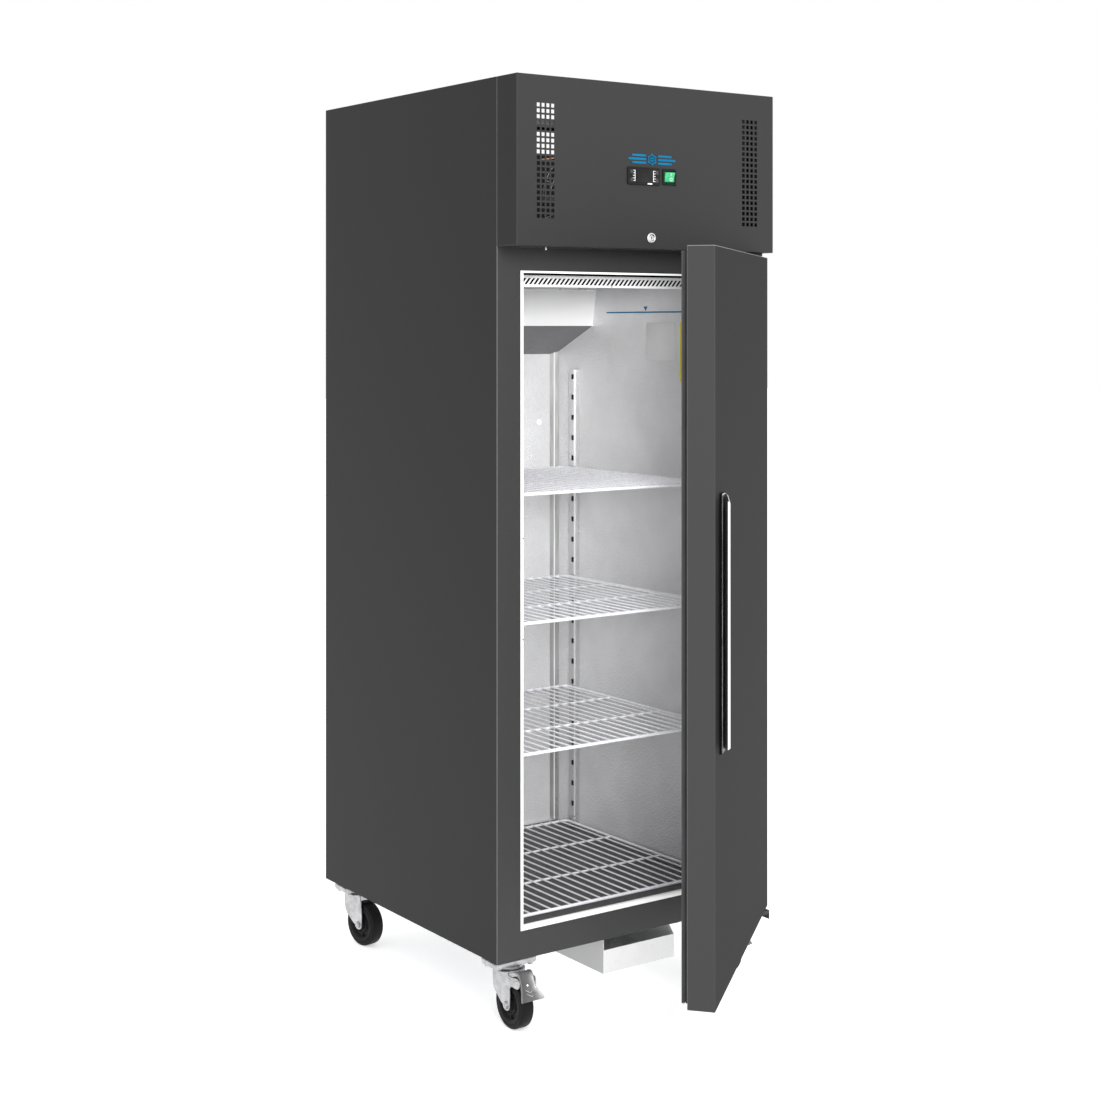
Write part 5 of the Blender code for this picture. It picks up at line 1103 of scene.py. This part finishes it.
def pipes(base):
    """Tubes between compressor, condenser, drier and the cold side, with the wiring box."""
    builder = bmesh.new()
    runs = [
        ([(0.262, 0.400, base + 0.050), (0.300, 0.400, base + 0.050), (0.300, 0.400, base + 0.205),
          (0.312, 0.189, base + 0.205), (0.332, 0.189, base + 0.224)], 0.0032),
        ([(0.582, 0.142, base + 0.020), (0.602, 0.142, base + 0.020), (0.602, 0.300, base + 0.030),
          (0.602, 0.330, base + 0.045)], 0.0032),
        ([(0.602, 0.420, base + 0.075), (0.600, 0.470, base + 0.080), (0.560, 0.520, base + 0.060),
          (0.520, 0.560, base + 0.050), (0.520, 0.600, base + 0.001)], 0.0014),
        ([(0.100, 0.400, base + 0.060), (0.062, 0.400, base + 0.060), (0.062, 0.400, base + 0.030),
          (0.050, 0.300, base + 0.030)], 0.0030),
    ]
    for points, radius in runs:
        add_tube(builder, bent_path(points, 0.022, 6), radius, 10)
    add_tube(builder, [(0.602, 0.325, base + 0.043), (0.602, 0.345, base + 0.051)], 0.0045, 12)
    add_lathe(builder, [(0.0, -0.052), (0.004, -0.052), (0.0095, -0.040), (0.0095, 0.036), (0.0035, 0.052),
                        (0.0, 0.052)], (0.602, 0.382, base + 0.064), "Y", 20)
    piece("copper_runs", builder, COPPER, "cabinet")
    builder = bmesh.new()
    suction = bent_path([(0.250, 0.490, base + 0.070), (0.300, 0.510, base + 0.070),
                         (0.420, 0.560, base + 0.050), (0.480, 0.600, base + 0.030),
                         (0.480, 0.620, base + 0.001)], 0.045, 8)
    add_tube(builder, suction, 0.0095, 14)
    piece("suction_insulation", builder, INSULATION, "cabinet")
    builder = bmesh.new()
    box = (0.330, 0.420, 0.610, 0.690, base, base + 0.050)
    lines = (bend_lines(box[0], box[1], 0.003), bend_lines(box[2], box[3], 0.003),
             bend_lines(box[4], box[5], 0.003))
    add_blocks(builder, [box], lines=lines)
    soften(builder, (box[0], box[2], None), (box[1], box[3], box[5]), 0.003)
    for x, y in ((0.338, 0.618), (0.412, 0.618), (0.338, 0.682), (0.412, 0.682)):
        add_screw(builder, (x, y, base + 0.050), "Z", 0.0030, 1)
    for route in ([(0.420, 0.650, base + 0.020), (0.520, 0.650, base + 0.010), (0.562, 0.700, base + 0.018),
                   (0.562, 0.727, 1.482)],
                  [(0.360, 0.610, base + 0.020), (0.340, 0.500, base + 0.008), (0.330, 0.360, base + 0.008),
                   (0.386, -0.020, base + 0.020), (0.386, -0.048, 1.600)],
                  [(0.345, 0.610, base + 0.030), (0.318, 0.520, base + 0.030), (0.284, 0.440, base + 0.095)],
                  [(0.400, 0.610, base + 0.030), (0.455, 0.450, base + 0.100), (0.455, 0.364, 1.580)],
                  [(0.350, 0.610, base + 0.012), (0.310, 0.450, base + 0.006), (0.300, 0.060, base + 0.030),
                   (0.312, -0.024, 1.600)]):
        add_tube(builder, bent_path(route, 0.03, 6), 0.0027, 8)
    piece("wiring_box", builder, BLACK_PLASTIC, "cabinet")


# ---- castors and tray ----------------------------------------------------------------------
def castors():
    """Each castor is drawn facing the front and then turned to the heading it has in the frame."""
    for place in CASTORS:
        spot = Vector(joint("castor_swivel_" + place)["pos_m"]) - CORNER
        axle = joint("castor_wheel_spin_" + place)["axis"]
        swing = turned_about(spot, math.atan2(axle[1], axle[0]))
        castor_base(place, spot.x, spot.y)
        castor_fork(place, spot.x, spot.y, swing)
        castor_wheel(place, spot.x, spot.y - CASTOR_TRAIL, swing)
        if place.startswith("front"):
            brake_pedal(place, spot.x, spot.y, swing)


def castor_base(place, x, y):
    half_x, half_y = 0.051, 0.030
    builder = bmesh.new()
    loops = []
    for inset, z in ((0.0016, PLATE_TOP), (0.0004, PLATE_TOP - 0.0006), (0.0, PLATE_TOP - 0.0022),
                     (0.0, PLATE_LOW + 0.0030), (0.0010, PLATE_LOW + 0.0024), (0.0010, PLATE_LOW + 0.0004),
                     (0.0016, PLATE_LOW)):
        outline = rounded(x - half_x + inset, x + half_x - inset, y - half_y + inset, y + half_y - inset,
                          0.006)
        loops.append([(px, py, z) for px, py in outline])
    add_loft(builder, loops)
    add_lathe(builder, [(0.0, RACE_LOW), (0.0268, RACE_LOW), (0.0290, RACE_LOW + 0.0010),
                        (0.0306, RACE_LOW + 0.0032), (0.0310, RACE_LOW + 0.0055), (0.0322, PLATE_LOW),
                        (0.0, PLATE_LOW)], (x, y, 0.0), "Z", 40)
    bolt = ((0.0, 0.0052), (0.0054, 0.0052), (0.0062, 0.0044), (0.0062, 0.0010), (0.0080, 0.0010),
            (0.0080, 0.0), (0.0, 0.0))
    for sx, sy in QUARTERS:
        spot = (x + sx * 0.0400, y + sy * 0.0200, 0.0)
        add_lathe(builder, [(radius, PLATE_LOW - drop) for radius, drop in bolt], spot, "Z", 6)
        add_disc(builder, 0.0070, PLATE_TOP, -GAP, spot, "Z", 18)
    piece("castor_base_" + place, builder, ZINC, "cabinet", ["castor_plate_" + place])


def castor_fork(place, x, y, swing):
    top = RACE_LOW - GAP
    axle_y = y - CASTOR_TRAIL
    inner, sheet = 0.0185, 0.0028
    builder = bmesh.new()
    add_lathe(builder, [(0.0, top - 0.0045), (0.0290, top - 0.0045), (0.0325, top - 0.0036),
                        (0.0340, top - 0.0018), (0.0330, top - 0.0004), (0.0300, top), (0.0, top)],
              (x, y, 0.0), "Z", 40)
    rear = [(y + 0.0265, top - 0.0016), (y + 0.0285, top - 0.0040), (y + 0.0285, -0.0560),
            (y + 0.0278, -0.0660), (y + 0.0258, -0.0735), (y + 0.0190, -0.0815), (y - 0.0030, -0.0985)]
    foot = []
    for n in range(9):
        turn = math.radians(-8.0 - 165.0 * n / 8)
        foot.append((axle_y + 0.0122 * math.cos(turn), AXLE_Z + 0.0112 * math.sin(turn)))
    nose = [(y - 0.0348, -0.0790), (y - 0.0330, -0.0600), (y - 0.0290, top - 0.0060)]
    if place.startswith("front"):
        nose = [(y - 0.0348, -0.0790), (y - 0.0347, -0.0650), (y - 0.0356, -0.0612), (y - 0.0385, -0.0582),
                (y - 0.0440, -0.0568), (y - 0.0540, -0.0572), (y - 0.0620, -0.0572), (y - 0.0662, -0.0548),
                (y - 0.0688, -0.0500), (y - 0.0690, -0.0440), (y - 0.0668, -0.0386), (y - 0.0620, -0.0358),
                (y - 0.0540, -0.0362), (y - 0.0420, -0.0382), (y - 0.0290, -0.0370)]
    for sign in (-1, 1):
        near, far = sorted((x + sign * inner, x + sign * (inner + sheet)))
        add_prism(builder, rear + foot + nose + [(y - 0.0270, top - 0.0020)], "X", near, far)
    reach = inner + sheet
    add_prism(builder, [(y - 0.026, top - 0.0046), (y + 0.0268, top - 0.0046), (y + 0.0268, top - 0.0014),
                        (y - 0.026, top - 0.0014)], "X", x - reach + 0.001, x + reach - 0.001)
    add_lathe(builder, [(0.0, -reach - 0.005), (0.0036, -reach - 0.005), (0.0045, -reach - 0.004),
                        (0.0045, reach + 0.004), (0.0036, reach + 0.005), (0.0, reach + 0.005)],
              (x, axle_y, AXLE_Z), "X", 16)
    for sign in (-1, 1):
        low, high = sorted((sign * (reach - 0.0004), sign * (reach + 0.0036)))
        add_lathe(builder, [(0.0, low), (0.0072, low), (0.0078, low + 0.0006), (0.0078, high - 0.0006),
                            (0.0072, high), (0.0, high)], (x, axle_y, AXLE_Z), "X", 6)
    if place.startswith("front"):
        for py, pz, radius in ((y - 0.0600, -0.0440, 0.0042), (y - 0.0330, -0.0440, 0.0030)):
            for sign in (-1, 1):
                low, high = sorted((sign * (reach - 0.0004), sign * (reach + 0.0012)))
                add_disc(builder, radius, low, high, (x, py, pz), "X", 16)
    piece("castor_yoke_" + place, builder, ZINC, "castor_fork_" + place,
          ["castor_fork_" + place], swing=swing, bevel=0.0005)


def castor_wheel(place, x, y, swing):
    half = 0.016
    side = [(0.0052, 0.0), (0.0120, 0.0), (0.0132, 0.0008), (0.0138, 0.0040), (0.0175, 0.0046),
            (0.0185, 0.0028), (0.0205, 0.0028), (0.0215, 0.0050), (0.0280, 0.0056), (0.0300, 0.0030),
            (0.0318, 0.0008), (0.0335, 0.0002), (0.0398, 0.0004), (0.0404, 0.0014), (0.0416, 0.0014),
            (0.0422, 0.0004), (0.0458, 0.0008), (0.0480, 0.0018), (0.0494, 0.0034), (0.0500, 0.0056)]
    profile = [(r, -half + d) for r, d in side] + [(r, half - d) for r, d in reversed(side)]
    builder = bmesh.new()
    add_lathe(builder, profile, (x, y, AXLE_Z), "X", 64)
    for sign in (-1, 1):
        for n in range(6):
            turn = math.radians(60.0 * n + 15.0)
            a, b = math.cos(turn), math.sin(turn)
            outline = []
            for radius, width in ((0.0215, -0.0008), (0.0305, -0.0008), (0.0305, 0.0008), (0.0215, 0.0008)):
                outline.append((y + radius * a - width * b, AXLE_Z + radius * b + width * a))
            near, far = sorted((x + sign * (half - 0.0024), x + sign * (half - 0.0060)))
            add_prism(builder, outline, "X", near, far)
    piece("castor_tyre_" + place, builder, TYRE, "castor_wheel_" + place,
          ["castor_wheel_" + place], swing=swing)


def brake_pedal(place, x, y, swing):
    """Pressed treadle with rolled edges, raised grip bars and embossed chevrons."""
    builder = bmesh.new()
    spine = [(-0.0470, -0.0282, 0.0172), (-0.0535, -0.0264, 0.0173), (-0.0575, -0.0264, 0.0173),
             (-0.0606, -0.0284, 0.0174), (-0.0672, -0.0418, 0.0175), (-0.0735, -0.0548, 0.0178),
             (-0.0770, -0.0594, 0.0196), (-0.0830, -0.0664, 0.0236), (-0.0885, -0.0729, 0.0268),
             (-0.0902, -0.0750, 0.0272)]
    thick, curl = 0.0028, 0.0032
    loops = []
    for n, (u, z, half) in enumerate(spine):
        before, after = spine[max(n - 1, 0)], spine[min(n + 1, len(spine) - 1)]
        along = Vector((after[0] - before[0], after[1] - before[1])).normalized()
        out = Vector((along.y, -along.x))
        py = y + u
        loops.append([(x - half, py - out.x * curl, z - out.y * curl),
                      (x - half, py + out.x * 0.0004, z + out.y * 0.0004),
                      (x - half + 0.0012, py + out.x * 0.0013, z + out.y * 0.0013),
                      (x - half + 0.0030, py, z), (x + half - 0.0030, py, z),
                      (x + half - 0.0012, py + out.x * 0.0013, z + out.y * 0.0013),
                      (x + half, py + out.x * 0.0004, z + out.y * 0.0004),
                      (x + half, py - out.x * curl, z - out.y * curl),
                      (x + half - 0.0020, py - out.x * thick, z - out.y * thick),
                      (x - half + 0.0020, py - out.x * thick, z - out.y * thick)])
    add_loft(builder, loops)
    upper, waist, lower = Vector(spine[3][:2]), Vector(spine[5][:2]), Vector(spine[8][:2])

    def on_face(across, down, lift):
        """A point on the two flats of the treadle, measured down from its top edge."""
        reach = (waist - upper).length
        start, end, rest = (upper, waist, down) if down < reach else (waist, lower, down - reach)
        along = (end - start).normalized()
        spot = start + along * rest + Vector((along.y, -along.x)) * lift
        return (x + across, y + spot.x, spot.y)

    def strip(x0, d0, x1, d1, width):
        a, b = Vector((x0, d0)), Vector((x1, d1))
        way = (b - a).normalized()
        across = Vector((-way.y, way.x)) * width / 2
        ring = [a - across, b - across, b + across, a + across]
        middle = (a + b) / 2
        rows = []
        for lift, share in ((-0.0008, 1.0), (0.0006, 1.0), (0.0013, 0.5)):
            spots = [middle + (corner - middle) * share for corner in ring]
            rows.append([on_face(spot.x, spot.y, lift) for spot in spots])
        add_loft(builder, rows, 1)

    for down in (0.0315, 0.0395):
        strip(-0.0095, down, 0.0, down + 0.0085, 0.0022)
        strip(0.0095, down, 0.0, down + 0.0085, 0.0022)
    strip(-0.0028, 0.0235, 0.0028, 0.0235, 0.0026)
    for n in range(5):
        px = x - 0.0120 + n * 0.0060
        add_tube(builder, bent_path([(px, y - 0.0490, -0.0270), (px, y - 0.0565, -0.0258),
                                     (px, y - 0.0612, -0.0290)], 0.003, 3), 0.0010, 6)
    cam = [(y - 0.0560, -0.0330), (y - 0.0535, -0.0400), (y - 0.0535, -0.0470), (y - 0.0575, -0.0510),
           (y - 0.0640, -0.0515), (y - 0.0690, -0.0500), (y - 0.0620, -0.0340)]
    for sign in (-1, 1):
        near, far = sorted((x + sign * 0.0172, x + sign * 0.0150))
        add_prism(builder, cam, "X", near, far)
    piece("brake_treadle_" + place, builder, [PEDAL_STEEL, CHROME], "brake_pedal_" + place,
          ["brake_pedal_" + place], swing=swing)


def tray():
    left, right, front, back, low = 0.290, 0.482, 0.030, 0.440, -0.085
    sheet, wall_top, flange, lip = 0.0012, -0.0102, 0.0088, 0.050
    solids = [
        (left, right, front, back, low, low + sheet),
        (left, right, front, front + sheet, low, low + lip),
        (left, right, back - sheet, back, low, low + lip),
        (left, left + sheet, front, back, low, wall_top),
        (right - sheet, right, front, back, low, wall_top),
        (left - flange, left, front, back, wall_top - sheet, wall_top),
        (right, right + flange, front, back, wall_top - sheet, wall_top),
    ]
    radius = 0.0016
    builder = bmesh.new()
    lines = (bend_lines(left, right, radius), bend_lines(front, back, radius) + [front + 0.026],
             bend_lines(low, wall_top, radius))
    add_blocks(builder, solids, lines=lines)
    slant = 0.026
    for vert in builder.verts:
        above = vert.co.z - (low + lip)
        if above > 0.0 and vert.co.y < front + slant and vert.co.x > (left + right) / 2:
            pull = slant * above / (wall_top - low - lip)
            vert.co.y = max(vert.co.y, front + pull)
    soften(builder, (None, front, low), (None, back, None), radius)
    # Left faces take the darker enamel as painted shade.
    for face in builder.faces:
        if face.calc_center_median().x < left + 0.0001:
            face.material_index = 1
    piece("drip_pan", builder, [TRAY_WHITE, TRAY_SHADED_SIDE], "drip_tray", ["drip_tray"],
          flat_faces=True)


# ---- studio --------------------------------------------------------------------------------
def studio():
    scene = bpy.context.scene
    world = bpy.data.worlds.new("studio")
    scene.world = world
    world.use_nodes = True
    world.node_tree.nodes["Background"].inputs["Color"].default_value = (1.0, 1.0, 1.0, 1.0)
    world.node_tree.nodes["Background"].inputs["Strength"].default_value = 1.0

    mesh = bpy.data.meshes.new("floor")
    corners = [(x * FLOOR_HALF, y * FLOOR_HALF, 0.0) for x, y in ((-1, -1), (1, -1), (1, 1), (-1, 1))]
    mesh.from_pydata(corners, [], [(0, 1, 2, 3)])
    floor = bpy.data.objects.new("floor", mesh)
    scene.collection.objects.link(floor)
    floor.data.materials.append(surface("studio_floor", 0.96, 0.97, (0.7, 0.8), tone=0.6, grain=30.0,
                                        bump=0.02, specular=0.1, glow=(1.0, 1.0, 1.0, FLOOR_GLOW)))

    def light(name, kind, place, aim, power):
        lamp = bpy.data.lights.new(name, kind)
        lamp.energy = power
        item = bpy.data.objects.new(name, lamp)
        scene.collection.objects.link(item)
        item.location = place
        item.rotation_euler = (Vector(aim) - Vector(place)).to_track_quat("-Z", "Y").to_euler()
        item.visible_camera = False
        return item

    key = light("key", "AREA", *KEY_LIGHT)
    key.data.size = KEY_SIZE
    opening = light("opening_fill", "SPOT", *OPENING_LIGHT)
    opening.data.spot_size = OPENING_CONE
    opening.data.spot_blend = 1.0
    opening.data.shadow_soft_size = OPENING_SOFTNESS
    opening.light_linking.receiver_collection = LIT_INSIDE

    lens = bpy.data.cameras.new("camera")
    camera = bpy.data.objects.new("camera", lens)
    scene.collection.objects.link(camera)
    scene.camera = camera
    lens.sensor_width = 36.0
    lens.lens = CAMERA_LENS
    lens.shift_x, lens.shift_y = CAMERA_SHIFT
    camera.location = CORNER + CAMERA_PLACE
    camera.rotation_euler = (math.radians(90.0), 0.0, CAMERA_HEADING)
    lens.clip_end = 100.0
    scene.view_settings.view_transform = "Standard"


case()
header()
controls()
door()
interior()
shelves()
machinery()
castors()
tray()
studio()
